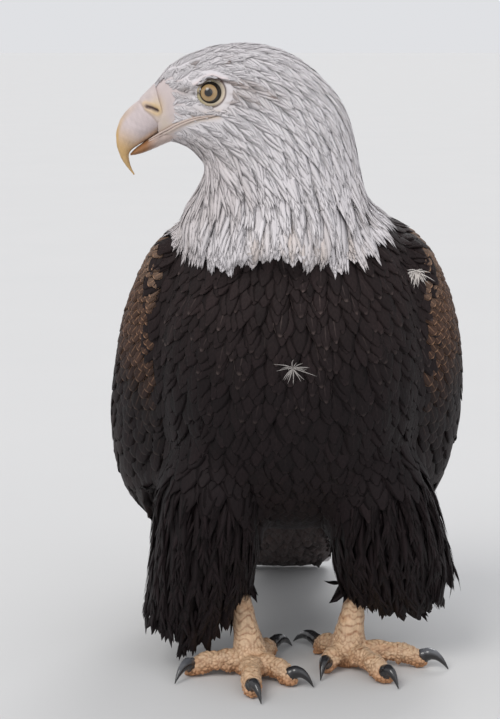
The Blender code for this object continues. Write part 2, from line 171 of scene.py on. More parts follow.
def remeshed(mesh, voxel):
    """The union of all the bodies in a mesh, in even quads."""
    thing = bpy.data.objects.new("remesh_work", mesh)
    bpy.context.scene.collection.objects.link(thing)
    modifier = thing.modifiers.new("remesh", "REMESH")
    modifier.mode = "VOXEL"
    modifier.voxel_size = voxel
    bpy.context.view_layer.update()
    graph = bpy.context.evaluated_depsgraph_get()
    result = bpy.data.meshes.new_from_object(thing.evaluated_get(graph))
    bpy.data.objects.remove(thing)
    return result


def relax(mesh, rounds, strength=0.5, mask=None):
    """Moves each vertex towards the mean of its neighbours."""
    edges = read(mesh.edges, "vertices", 2, np.int32)
    points = points_of(mesh)
    count = np.bincount(edges.ravel(), minlength=len(points))[:, None]
    amount = strength if mask is None else strength * mask[:, None]
    for _ in range(rounds):
        total = np.zeros_like(points)
        np.add.at(total, edges[:, 0], points[edges[:, 1]])
        np.add.at(total, edges[:, 1], points[edges[:, 0]])
        points += amount * (total / count - points)
    set_points(mesh, points)


def spline(stations, steps):
    """Rows of numbers on a smooth curve through the stations."""
    stations = np.array(stations, float)
    last = len(stations) - 1
    before = np.vstack([2 * stations[0] - stations[1], stations, 2 * stations[-1] - stations[-2]])
    places = np.linspace(0, last, steps)
    left = np.minimum(places.astype(int), last - 1)
    t = (places - left)[:, None]
    a, b, c, d = (before[left + k] for k in range(4))
    return b + 0.5 * t * (c - a + t * (2 * a - 5 * b + 4 * c - d + t * (3 * (b - c) + d - a)))


def grid_faces(rows, columns, wrap=True):
    """Quads of a grid of points, closed round its columns where wrap is set."""
    row, column = np.meshgrid(np.arange(rows - 1), np.arange(columns if wrap else columns - 1), indexing="ij")
    after = (column + 1) % columns
    quads = np.stack([row * columns + column, row * columns + after,
                      (row + 1) * columns + after, (row + 1) * columns + column], axis=-1)
    return quads.reshape(-1, 4)


def end_fans(rings, sides, first, last):
    """Triangles from a grid's first ring to one point, by number, and from its last ring to another."""
    side = np.arange(sides)
    after = (side + 1) % sides
    base = (rings - 1) * sides
    near = np.stack([np.full(sides, first), after, side], axis=1)
    far = np.stack([np.full(sides, last), base + side, base + after], axis=1)
    return np.concatenate([near, far])


def turned_out(mesh):
    """The mesh with all its faces looking out."""
    shape = bmesh.new()
    shape.from_mesh(mesh)
    bmesh.ops.recalc_face_normals(shape, faces=list(shape.faces))
    shape.to_mesh(mesh)
    shape.free()
    return mesh


def swept(path, radii, sides=12, squash=1.0):
    """(points, triangles) of a closed tube along the path; squash scales it along its own up."""
    run = unit(np.gradient(path, axis=0))
    level = unit(np.cross(run, (0.0, 0.0, 1.0)))
    rise = np.cross(level, run)
    angle = np.linspace(0, 2 * np.pi, sides, endpoint=False)
    ring = (np.cos(angle)[None, :, None] * rise[:, None] * (radii * squash)[:, None, None]
            + np.sin(angle)[None, :, None] * level[:, None] * radii[:, None, None])
    points = (path[:, None] + ring).reshape(-1, 3)
    quads = grid_faces(len(path), sides)
    tris = np.concatenate([quads[:, [0, 1, 2]], quads[:, [0, 2, 3]]])
    fans = end_fans(len(path), sides, len(points), len(points) + 1)
    return np.vstack([points, path[0], path[-1]]), np.concatenate([tris, fans])


def laid(points):
    """Places measured from the point between the ankles, as the sizes here are."""
    return points - STANCE


# ---------------------------------------------------------------- forms under the feathers

BODY_VOXEL, HEAD_VOXEL, FOOT_VOXEL = 0.0044, 0.0012, 0.00085
HEAD_FLOOR = 0.392          # the head's fine skin ends here, under the neck's feathers
SHANK_TOP = 0.080           # the fine skin of the feet ends here, inside the thighs
TAIL_SKIN_END = 0.225

BROW = ((-0.0830, 0.4845), (-0.0740, 0.4862), (-0.0680, 0.4885), (-0.0645, 0.4918), (-0.0590, 0.4934),
        (-0.0520, 0.4908), (-0.0440, 0.4897), (-0.0360, 0.4918))
GAPE = ((-0.1080, 0.4445), (-0.0996, 0.4490), (-0.0924, 0.4527), (-0.0849, 0.4569), (-0.0721, 0.4617),
        (-0.0550, 0.4645))
GAPE_END_X = -0.0535


def node_geometry(name):
    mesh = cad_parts[name].data
    return points_of(mesh), triangles_of(mesh)


def cropped(mesh, place, outward):
    """Cuts a mesh off at a plane and closes it."""
    shape = bmesh.new()
    shape.from_mesh(mesh)
    whole = list(shape.verts) + list(shape.edges) + list(shape.faces)
    cut = bmesh.ops.bisect_plane(shape, geom=whole, plane_co=place, plane_no=outward, clear_outer=True)
    rim = [item for item in cut["geom_cut"] if isinstance(item, bmesh.types.BMEdge)]
    bmesh.ops.holes_fill(shape, edges=rim)
    shape.to_mesh(mesh)
    shape.free()


def along_line(points_xz, line):
    """(distance, share along, signed height) of places in the head's plane from a broken line."""
    line = np.array(line)
    best = np.full(len(points_xz), 9.0)
    share = np.zeros(len(points_xz))
    height = np.zeros(len(points_xz))
    for index in range(len(line) - 1):
        start, run = line[index], line[index + 1] - line[index]
        t = np.clip(((points_xz - start) @ run) / (run @ run), 0, 1)
        away = points_xz - (start + t[:, None] * run)
        distance = np.hypot(away[:, 0], away[:, 1])
        nearer = distance < best
        best = np.where(nearer, distance, best)
        share = np.where(nearer, (index + t) / (len(line) - 1), share)
        height = np.where(nearer, away[:, 1], height)
    return best, share, height


def face_relief(plane):
    """How far the face stands out at places in the head's plane: brow ridge, lores hollow, mouth crease."""
    away, share, height = along_line(plane, BROW)
    spread = np.where(height > 0, 0.0030, 0.0013)
    ridge = np.exp(-(away / spread) ** 2) * ramp(share, 0.0, 0.22) * ramp(share, 1.0, 0.62)
    lores = np.exp(-(((plane - (-0.0790, 0.4790)) / (0.0075, 0.0050)) ** 2).sum(axis=1))
    gape_away, _, _ = along_line(plane, GAPE)
    closing = ramp(plane[:, 0], GAPE_END_X + 0.001, GAPE_END_X - 0.006)
    crease = np.exp(-(gape_away / 0.0011) ** 2) * closing
    return 0.0040 * ridge - 0.0012 * lores - 0.0012 * crease


def sculpt_head(mesh):
    """Brow ridge over each eye, hollow lores and mouth crease."""
    points = points_of(mesh)
    here = laid(points)
    side = np.sign(here[:, 1] - HEAD_Y)
    flank = ramp(np.abs(here[:, 1] - HEAD_Y), 0.008, 0.016)
    points[:, 1] += side * face_relief(here[:, [0, 2]]) * flank
    set_points(mesh, points)


def head_form():
    """The head's mesh, and a search tree of it from before its face is sculpted."""
    mesh = remeshed(joined([node_geometry("head"), node_geometry("neck")], "head_form"), HEAD_VOXEL)
    cropped(mesh, at(0, 0, HEAD_FLOOR), (0, 0, -1))
    here = laid(points_of(mesh))
    face = ramp(here[:, 0], -0.02, -0.06) * ramp(here[:, 2], 0.42, 0.45)
    relax(mesh, 10, 0.5, 1 - 0.75 * face)
    plain = surface_tree(points_of(mesh), triangles_of(mesh))
    sculpt_head(mesh)
    return mesh, plain


def body_form():
    names = ("trunk", "head", "neck", "wing_left", "wing_right", "thigh_left", "thigh_right", "tail")
    mesh = remeshed(joined([node_geometry(name) for name in names], "body_form"), BODY_VOXEL)
    relax(mesh, 6)
    return mesh


def shrink(mesh, depth):
    """Moves a mesh in by the depth at each vertex, but never by more than a third of its thickness."""
    points, normals = points_of(mesh), normals_of(mesh)
    tree = surface_tree(points, triangles_of(mesh))
    room = np.empty(len(points))
    for index, (point, normal) in enumerate(zip(points, normals)):
        hit = tree.ray_cast(Vector(point - normal * 2e-4), Vector(-normal), 0.06)
        room[index] = hit[3] if hit[0] is not None else 0.06
    set_points(mesh, points - normals * np.minimum(depth, room / 3)[:, None])


class Guide:
    """A form that vanes are rooted on and laid along."""

    def __init__(self, mesh):
        self.points, self.tris = points_of(mesh), triangles_of(mesh)
        self.corner_normals = normals_of(mesh)
        self.tree = surface_tree(self.points, self.tris)

    def nearest(self, places):
        found = [self.tree.find_nearest(place) for place in places.tolist()]
        index = np.array([f[2] for f in found])
        normals = unit(self.corner_normals[self.tris[index]].sum(axis=1))
        return np.array([f[0] for f in found]), normals

    def scatter(self, gap_of, seed, crowd=7):
        """Evenly random roots, closer where gap_of gives less; gap_of gives 0 where none may grow."""
        corners = self.points[self.tris]
        middles = corners.mean(axis=1)
        gaps = gap_of(middles)
        sides = corners[:, 1] - corners[:, 0], corners[:, 2] - corners[:, 0]
        area = np.linalg.norm(np.cross(*sides), axis=1) / 2
        weight = np.where(gaps > 0, area / np.maximum(gaps, 1e-4) ** 2, 0)
        rng = np.random.default_rng(seed)
        count = int(weight.sum() * crowd)
        chosen = np.searchsorted(np.cumsum(weight) / weight.sum(), rng.random(count)).clip(0, len(area) - 1)
        a, b = rng.random((2, count))
        fold = a + b > 1
        a, b = np.where(fold, 1 - a, a), np.where(fold, 1 - b, b)
        tri = corners[chosen]
        places = tri[:, 0] + a[:, None] * (tri[:, 1] - tri[:, 0]) + b[:, None] * (tri[:, 2] - tri[:, 0])
        gaps = gap_of(places)
        open_ground = gaps > 0
        places, gaps, chosen = places[open_ground], gaps[open_ground], chosen[open_ground]
        kept = thinned(places, gaps)
        return places[kept], unit(self.corner_normals[self.tris[chosen[kept]]].sum(axis=1))


def thinned(places, gaps):
    """Numbers of the places kept, each at least its own gap from all that are kept before it."""
    cell = float(gaps.max())
    keys = np.floor(places / cell).astype(int).tolist()
    squares = (gaps ** 2).tolist()
    steps = [(i, j, k) for i in (-1, 0, 1) for j in (-1, 0, 1) for k in (-1, 0, 1)]
    grid, kept = {}, []
    for index, (place, key) in enumerate(zip(places.tolist(), keys)):
        x, y, z = place
        least = squares[index]
        clear = True
        for i, j, k in steps:
            for u, v, w in grid.get((key[0] + i, key[1] + j, key[2] + k), ()):
                if (x - u) ** 2 + (y - v) ** 2 + (z - w) ** 2 < least:
                    clear = False
                    break
            if not clear:
                break
        if clear:
            grid.setdefault(tuple(key), []).append(place)
            kept.append(index)
    return np.array(kept)


# ---------------------------------------------------------------- vanes

VANES = {                               # shares along, half widths there, share of the middle thickness
    "round": ((0.10, 0.32, 0.58, 0.78, 0.90, 0.965), (0.42, 0.86, 1.00, 0.94, 0.70, 0.42),
              (0.9, 1, 0.9, 0.7, 0.5, 0.4)),
    "leaf": ((0.10, 0.32, 0.56, 0.76, 0.89, 0.965), (0.45, 0.88, 1.00, 0.84, 0.52, 0.24),
             (0.9, 1, 0.9, 0.7, 0.5, 0.4)),
    "lance": ((0.08, 0.25, 0.46, 0.64, 0.78, 0.90), (0.45, 0.90, 1.00, 0.84, 0.56, 0.26),
              (0.9, 1, 0.9, 0.8, 0.6, 0.5)),
    "strand": ((0.08, 0.28, 0.50, 0.72, 0.88), (0.55, 0.95, 1.00, 0.75, 0.38), (0.9, 1, 0.9, 0.7, 0.5)),
    "tiny": ((0.18, 0.55, 0.85), (0.75, 1.00, 0.55), (0.9, 0.9, 0.6)),
    "blade": ((0.03, 0.10, 0.22, 0.36, 0.50, 0.64, 0.76, 0.86, 0.93, 0.975),
              (0.30, 0.62, 0.88, 0.98, 1.00, 1.00, 0.97, 0.86, 0.66, 0.40),
              (1, 1, 0.9, 0.8, 0.7, 0.6, 0.5, 0.45, 0.4, 0.35)),
}


def path_at(paths, shares):
    """Values on each of many even broken lines (n, steps, 3) at these shares along them."""
    last = paths.shape[1] - 1
    places = np.asarray(shares) * last
    left = np.minimum(places.astype(int), last - 1)
    t = (places - left)[None, :, None]
    return paths[:, left] * (1 - t) + paths[:, left + 1] * t


class Feathers:
    """Gathers vanes and turns them into one mesh object."""

    def __init__(self, name, unwrap):
        self.name, self.unwrap = name, unwrap
        self.points, self.faces, self.start = [], [[], []], 0
        self.tints, self.trims, self.vane_uv, self.bake_uv = [], [], [], []

    def add(self, kind, paths, normals, width, tint, trim, seed, thick=0.0003, camber=0.04, ragged=0.06,
            across=3, root_shade_tip_light=(0.75, 1.0, 1.05)):
        """Adds one vane for each path. Colours are (n, 3), and root_shade_tip_light scales them at the root,
        middle, tip: painted shade on the roots, painted highlight on the tips.
        """
        rng = np.random.default_rng(seed)
        shares, profile, body = (np.array(row, float) for row in VANES[kind])
        count, rings = len(paths), len(shares)
        middle = path_at(paths, shares)
        facing = unit(path_at(normals, shares))
        run = unit(np.gradient(middle, axis=1))
        level = unit(np.cross(run, facing))
        rise = np.cross(level, run)
        half = width[:, None] / 2 * profile
        s = np.linspace(-1, 1, across)
        inner = s[1:-1][::-1]
        ring_s = np.concatenate([s, inner])
        is_top = np.concatenate([np.ones(across), np.zeros(across - 2)])
        bow = camber * half[:, :, None] * (1 - ring_s ** 2)
        shell = thick * body[None, :, None] * np.sqrt(1 - ring_s ** 2) * np.where(is_top > 0, 0.6, -0.4)
        jitter = 1 + ragged * rng.normal(size=(count, rings, 1)) * (np.abs(ring_s) > 0.9)
        slip = ragged * width[:, None, None] * rng.normal(size=(count, rings, len(ring_s)))
        slip = slip * np.abs(ring_s) * shares[None, :, None]
        corner = (middle[:, :, None]
                  + level[:, :, None] * (half[:, :, None] * ring_s * jitter)[..., None]
                  + rise[:, :, None] * (bow + shell)[..., None]
                  + run[:, :, None] * slip[..., None])
        size = len(ring_s)
        ends = np.stack([paths[:, 0], paths[:, -1]], axis=1)
        block = np.concatenate([corner.reshape(count, -1, 3), ends], axis=1)
        per = rings * size + 2
        quads = grid_faces(rings, size)
        fans = end_fans(rings, size, rings * size, rings * size + 1)
        offsets = self.start + np.arange(count)[:, None, None] * per
        self.faces[0].append((quads[None] + offsets).reshape(-1, 4))
        self.faces[1].append((fans[None] + offsets).reshape(-1, 3))
        self.points.append(block.reshape(-1, 3))
        self.start += count * per
        t_all = np.concatenate([np.repeat(shares, size), (0.0, 1.0)])
        s_all = np.concatenate([np.tile(ring_s, rings), (0.0, 0.0)])
        # Painted shade at the roots, where they lie under other feathers, and painted highlight at the tips.
        strength = np.interp(t_all, (0.0, 0.5, 1.0), root_shade_tip_light)[None, :, None]
        self.tints.append((tint[:, None] * strength).reshape(-1, 3))
        self.trims.append(np.repeat(trim, per, axis=0))
        self.vane_uv.append(np.tile(np.stack([(s_all + 1) / 2, t_all], axis=1), (count, 1)))
        home = self.unwrap(paths[:, 0])
        patch = np.stack([s_all * 0.0015, (t_all - 0.5) * 0.003], axis=1)
        self.bake_uv.append(np.clip(home[:, None] + patch[None], 0.001, 0.999).reshape(-1, 2))

    def finish(self, slot):
        """Makes the piece, with the material and the slot of that name."""
        faces = [np.concatenate(group) for group in self.faces]
        mesh = build_mesh(self.name, np.concatenate(self.points), faces)
        paint(mesh, "tint", np.concatenate(self.tints))
        paint(mesh, "trim", np.concatenate(self.trims))
        corners = read(mesh.loops, "vertex_index", 1, np.int32)
        set_uv(mesh, "OFBake", np.concatenate(self.bake_uv)[corners])
        set_uv(mesh, "Vane", np.concatenate(self.vane_uv)[corners])
        material = {"white_feather": white_feather, "dark_feather": dark_feather}[slot]
        made = add_object(self.name, mesh, material)
        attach(made, "root")
        print(self.name, sum(len(group) * (2 if group.shape[1] == 4 else 1) for group in faces), "triangles")
        return made


def lay(guide, roots, normals, heading, lengths, steps, sunk, proud, follow=None):
    """Centre lines that start sunk under the form, run along it and end proud of it."""
    heading = unit(heading - (heading * normals).sum(axis=1, keepdims=True) * normals)
    follow = np.ones(len(roots)) if follow is None else follow
    places, facings = [roots], [normals]
    for _ in range(steps):
        ahead = places[-1] + heading * (lengths / steps)[:, None]
        found, facing = guide.nearest(ahead)
        places.append(ahead + (found - ahead) * follow[:, None])
        facings.append(unit(facings[-1] * (1 - follow[:, None]) + facing * follow[:, None]))
        heading = unit(heading - (heading * facings[-1]).sum(axis=1, keepdims=True) * facings[-1])
    places, facings = np.stack(places, axis=1), np.stack(facings, axis=1)
    t = np.linspace(0, 1, steps + 1)[None, :]
    height = -sunk[:, None] * (1 - t) ** 1.3 + proud[:, None] * t
    return places + facings * height[..., None], facings


def round_unwrap(start, end, low=0.02, high=0.98):
    """Unwrap of a long form: along its axis, and round it."""
    start, end = np.array(start), np.array(end)
    axis = end - start
    length = np.linalg.norm(axis)
    axis = axis / length
    first = unit(np.cross(axis, (0.0, 1.0, 0.13)))
    second = np.cross(axis, first)

    def unwrap(points):
        away = points - start
        v = (away @ axis) / length
        u = np.arctan2(away @ second, away @ first) / (2 * np.pi) + 0.5
        return np.stack([low + (high - low) * u, low + (high - low) * np.clip(v, 0, 1)], axis=1)
    return unwrap


# ---------------------------------------------------------------- the lie and the markings of the plumage

PIVOT = np.array((-0.095, 0.395))       # in the head's plane: feathers of head and nape curve round it
WING_ROWS = (                           # upper edge, outer face and lower edge of the folded wing
    ((0.088, -0.022, 0.372), (0.105, -0.048, 0.357), (0.096, -0.048, 0.334)),
    ((0.078, 0.006, 0.384), (0.121, -0.028, 0.338), (0.103, -0.047, 0.285)),
    ((0.056, 0.032, 0.378), (0.136, 0.002, 0.302), (0.105, -0.038, 0.235)),
    ((0.032, 0.060, 0.353), (0.144, 0.036, 0.258), (0.106, -0.012, 0.188)),
    ((0.014, 0.092, 0.315), (0.145, 0.072, 0.212), (0.111, 0.014, 0.148)),
    ((0.007, 0.126, 0.268), (0.137, 0.112, 0.167), (0.111, 0.054, 0.116)),
    ((0.006, 0.165, 0.220), (0.114, 0.154, 0.130), (0.099, 0.104, 0.091)),
    ((0.008, 0.203, 0.170), (0.078, 0.198, 0.097), (0.075, 0.162, 0.070)),
    ((0.011, 0.236, 0.116), (0.046, 0.238, 0.066), (0.050, 0.216, 0.050)),
    ((0.018, 0.262, 0.062), (0.026, 0.266, 0.048), (0.032, 0.262, 0.039)),
)
COLLAR = (                              # x and z where the white hackles end, seen from the front
    (-0.100, 0.384), (-0.094, 0.374), (-0.087, 0.363), (-0.070, 0.359), (-0.055, 0.356), (-0.045, 0.346),
    (-0.035, 0.357), (-0.015, 0.361), (0.005, 0.361), (0.022, 0.357), (0.036, 0.354), (0.047, 0.358),
    (0.058, 0.362), (0.066, 0.376), (0.078, 0.386), (0.084, 0.392))
COLLAR_BACK = 0.384
WING_TUCK, TUCK_FROM, TUCK_TO = {1: 0.085, -1: 0.0}, 0.2, 0.6
TAIL_LINE = ((0.140, 0.128, 0.026), (0.178, 0.100, 0.036), (0.216, 0.066, 0.043), (0.250, 0.036, 0.048),
             (0.276, 0.014, 0.049), (0.292, 0.0046, 0.046), (0.302, 0.0030, 0.040))
THIGH_END = {1: (0.099, 0.046), -1: (-0.086, 0.018)}     # x and z of the ends of the thighs' feathers
THIGH_HEM = {                           # x and z of the lower ends of each thigh's feathers
    -1: ((-0.122, 0.060), (-0.111, 0.044), (-0.095, 0.032), (-0.080, 0.023), (-0.062, 0.026), (-0.050, 0.045),
         (-0.038, 0.064), (-0.020, 0.075)),
    1: ((0.030, 0.068), (0.042, 0.058), (0.055, 0.052), (0.074, 0.047), (0.090, 0.040), (0.106, 0.036),
        (0.116, 0.050), (0.126, 0.062), (0.142, 0.090))}

SOLIDS = ("head", "neck", "trunk", "wing_left", "wing_right", "thigh_left", "thigh_right", "tail")
HEAD, NECK, TRUNK, WING_LEFT, WING_RIGHT, THIGH_LEFT, THIGH_RIGHT, TAIL = range(8)


def solid_finder():
    corners, tris, owner, start = [], [], [], 0
    for number, name in enumerate(SOLIDS):
        here, faces = node_geometry(name)
        corners.append(here)
        tris.append(faces + start)
        owner.append(np.full(len(faces), number))
        start += len(here)
    owner = np.concatenate(owner)
    tree = surface_tree(np.concatenate(corners), np.concatenate(tris))

    def find(points):
        return owner[[tree.find_nearest(point)[2] for point in points.tolist()]]
    return find


def collar_z(here):
    """Height at which the white ends, at places round the neck."""
    front = np.interp(here[:, 0], [p[0] for p in COLLAR], [p[1] for p in COLLAR])
    front = front + 0.011 * ramp(here[:, 0], 0.055, 0.070)
    back = ramp(here[:, 1], -0.045, -0.010)
    return front * (1 - back) + COLLAR_BACK * back + 0.05 * ramp(np.abs(here[:, 0] + 0.008), 0.092, 0.100)


def gathered(roots, heading, length, gap, pull, seed):
    """Headings turned so that the tips of neighbours draw together into locks, and each one's lock."""
    middle = roots + heading * (length * 0.5)[:, None]
    order = np.random.default_rng(seed).permutation(len(roots))
    cores = order[thinned(middle[order], np.full(len(roots), gap))]
    tree = point_tree(middle[cores])
    lock = np.array([tree.find(place)[1] for place in middle.tolist()])
    away = middle[cores[lock]] - middle
    away = away - (away * heading).sum(axis=1, keepdims=True) * heading
    return unit(heading * length[:, None] + away * (2 * pull)), lock


solid_of = solid_finder()


def along_path(points, path):
    """(share along, direction) of the nearest place on a broken line in space."""
    path = np.array(path, float)
    best = np.full(len(points), 9.0)
    share = np.zeros(len(points))
    for index in range(len(path) - 1):
        start, run = path[index], path[index + 1] - path[index]
        t = np.clip(((points - start) @ run) / (run @ run), 0, 1)
        distance = np.linalg.norm(points - start - t[:, None] * run, axis=1)
        nearer = distance < best
        best = np.where(nearer, distance, best)
        share = np.where(nearer, (index + t) / (len(path) - 1), share)
    slopes = unit(np.gradient(path, axis=0))
    place = share * (len(path) - 1)
    left = np.minimum(place.astype(int), len(path) - 2)
    t = (place - left)[:, None]
    return share, unit(slopes[left] * (1 - t) + slopes[left + 1] * t)


def turn(here):
    """Angle in degrees round the pivot: 95 at the bill, 60 on the crown, 30 at the nape, 0 below it."""
    return np.degrees(np.arctan2(here[:, 2] - PIVOT[1], here[:, 0] - PIVOT[0]))


def head_flow(here):
    arc = np.stack([here[:, 2] - PIVOT[1], np.zeros(len(here)), -(here[:, 0] - PIVOT[0])], axis=1)
    arc = unit(arc)
    spread = here - np.array((-0.008, -0.040, 0.0))
    down = np.stack([spread[:, 0] * 5.0, spread[:, 1] * 3.0, np.full(len(here), -1.0)], axis=1)
    low = ramp(here[:, 2], 0.445, 0.405)[:, None]
    chin = (ramp(here[:, 0], -0.045, -0.075) * ramp(here[:, 2], 0.452, 0.435))[:, None]
    back = np.array((0.86, 0.0, -0.5))
    return unit(arc * (1 - low) * (1 - chin) + back * chin * (1 - low) + unit(down) * low)


def wing_flow(here):
    side = np.where(here[:, 0] > BODY_X, 1.0, -1.0)
    flat = np.stack([(here[:, 0] - BODY_X) * side, here[:, 1], here[:, 2]], axis=1)
    share, run = along_path(flat, [row[1] for row in WING_ROWS])
    return share, np.stack([run[:, 0] * side, run[:, 1], run[:, 2]], axis=1)


def trunk_flow(here):
    out = (here[:, 0] - BODY_X) / 0.11
    front = ramp(here[:, 1], 0.04, -0.02)
    high = ramp(here[:, 2], 0.20, 0.34)
    belly = ramp(here[:, 2], 0.20, 0.12)
    fan = out * (0.15 + 0.55 * high) * front
    back = np.where(front > 0.5, 0.25 + 0.9 * belly, 0.75)
    return unit(np.stack([fan, back, np.full(len(here), -1.0)], axis=1))


def thigh_flow(here):
    side = np.where(here[:, 0] > BODY_X, 1.0, -1.0)
    out = np.clip((np.abs(here[:, 0]) - 0.07) / 0.05, -0.6, 1.0) * side
    back = np.full(len(here), 0.10)
    return unit(np.stack([0.16 * out + 0.06 * side, back, np.full(len(here), -1.0)], axis=1))


TAN, BROWN = np.array((0.50, 0.34, 0.20)), np.array((0.17, 0.105, 0.075))
WHITE = np.array((0.70, 0.665, 0.68))
DARK = np.array((0.0088, 0.0050, 0.0056))
CHEST_BROWN, MANTLE_BROWN = np.array((0.008, 0.0052, 0.0046)), np.array((0.010, 0.0062, 0.0050))
LESSER_COVERT, WING_EDGE = (0.066, 0.036, 0.025), (0.15, 0.098, 0.070)
COVERT_TRIM = np.array((0.25, 0.135, 0.068))
CHIN_GREY, NECK_BUFF, THROAT_GREY = (0.40, 0.33, 0.30), (0.52, 0.42, 0.33), (0.36, 0.30, 0.28)
DUSKY = np.array((0.036, 0.021, 0.019))
EYE_PATCHES_AND_SHADE = (                              # colour, strength, x, z, half length, half height of soft patches round the eye: marks, and painted shade
    ((0.36, 0.28, 0.24), 0.28, -0.0300, 0.4815, 0.0200, 0.0075),    # behind the eye
    ((0.27, 0.22, 0.19), 0.55, -0.0800, 0.4818, 0.0070, 0.0040),    # between eye and bill: painted shade in the hollow lores
    ((0.33, 0.27, 0.24), 0.35, -0.0600, 0.4685, 0.0170, 0.0038),    # under the eye
)
STAINS = ((-0.023, 0.387), (0.0004, 0.390), (0.0193, 0.388), (0.045, 0.376))
STREAKS = (                             # x, z, half length, half height, strength of the head's brown marks
    (-0.0440, 0.4888, 0.0045, 0.0012, 0.9), (-0.0365, 0.4862, 0.0050, 0.0011, 0.8),
    (-0.0300, 0.4880, 0.0050, 0.0010, 0.8), (-0.0235, 0.4842, 0.0045, 0.0011, 0.8),
    (-0.0180, 0.4805, 0.0040, 0.0010, 0.7), (-0.0400, 0.4800, 0.0045, 0.0010, 0.7),
    (-0.0320, 0.4775, 0.0045, 0.0010, 0.6), (-0.0225, 0.4760, 0.0035, 0.0010, 0.5),
    (-0.0735, 0.5008, 0.0016, 0.0022, 0.7), (-0.0501, 0.5038, 0.0016, 0.0022, 0.8),
    (-0.0057, 0.4735, 0.0035, 0.0010, 0.5), (-0.0450, 0.4735, 0.0040, 0.0010, 0.5))


def blended(colour, other, amount):
    return colour * (1 - amount[:, None]) + np.asarray(other) * amount[:, None]


def spot(plane, x, z, wide, high):
    """1 at a place in the head's plane, fading over the widths given."""
    return np.exp(-(((plane - (x, z)) / (wide, high)) ** 2).sum(axis=1))


def markings(points, solid):
    """Base colour of skin and coat at each place, by the solid that it belongs to."""
    here = laid(points)
    colour = np.tile(DARK, (len(points), 1))
    upper = (solid == HEAD) | (solid == NECK) | (solid == TRUNK)
    white = (upper & (here[:, 2] > collar_z(here) - 0.003)) | (solid == TAIL)
    colour[white] = WHITE
    plane = here[:, [0, 2]]
    near = here[:, 1] < HEAD_Y + 0.01
    for x, z in STAINS:
        colour = blended(colour, TAN, 0.30 * spot(plane, x, z, 0.006, 0.016) * near * white)
    for x, z, wide, high, strength in STREAKS:
        colour = blended(colour, BROWN, strength * spot(plane, x, z, wide, high) * white)
    # Soft patches round the eye: brown marks, and painted shade between eye and bill.
    for shade, strength, x, z, wide, high in EYE_PATCHES_AND_SHADE:
        colour = blended(colour, shade, strength * spot(plane, x, z, wide, high) * white)
    chin = 0.30 * ramp(plane[:, 1], 0.456, 0.440) * ramp(plane[:, 0], -0.05, -0.075) * white
    colour = blended(colour, CHIN_GREY, chin)
    patch = ramp(wander(points, 0.018, 5), 0.25, 1.1) * 0.12 * (solid == NECK)
    colour = blended(colour, NECK_BUFF, patch * ramp(here[:, 2], 0.46, 0.40) * white)
    colour = blended(colour, THROAT_GREY, 0.40 * spot(plane, -0.052, 0.425, 0.016, 0.018) * white)
    wing = (solid == WING_LEFT) | (solid == WING_RIGHT)
    share, _ = wing_flow(here)
    lesser = ramp(share, 0.29, 0.12) * wing * ramp(here[:, 1], 0.03, -0.02)
    colour = blended(colour, LESSER_COVERT, lesser)
    edge = ramp(share, 0.10, 0.02) * wing * ramp(here[:, 1], 0.0, -0.02)
    colour = blended(colour, WING_EDGE, 0.8 * edge)
    # The back and the upper front of the chest are a little lighter and browner.
    mantle = ramp(here[:, 1], 0.0, 0.05) * ~white
    colour = colour + MANTLE_BROWN * mantle[:, None]
    chest = (solid == TRUNK) * ~white * ramp(here[:, 2], 0.27, 0.35) * ramp(here[:, 1], 0.0, -0.06)
    return colour + CHEST_BROWN * chest[:, None]


def varied(colours, amount, seed):
    """Each colour a little lighter or darker at random."""
    rng = np.random.default_rng(seed)
    return colours * (1 + amount * rng.normal(size=(len(colours), 1))).clip(0.4, 1.8)


# ---------------------------------------------------------------- the coat

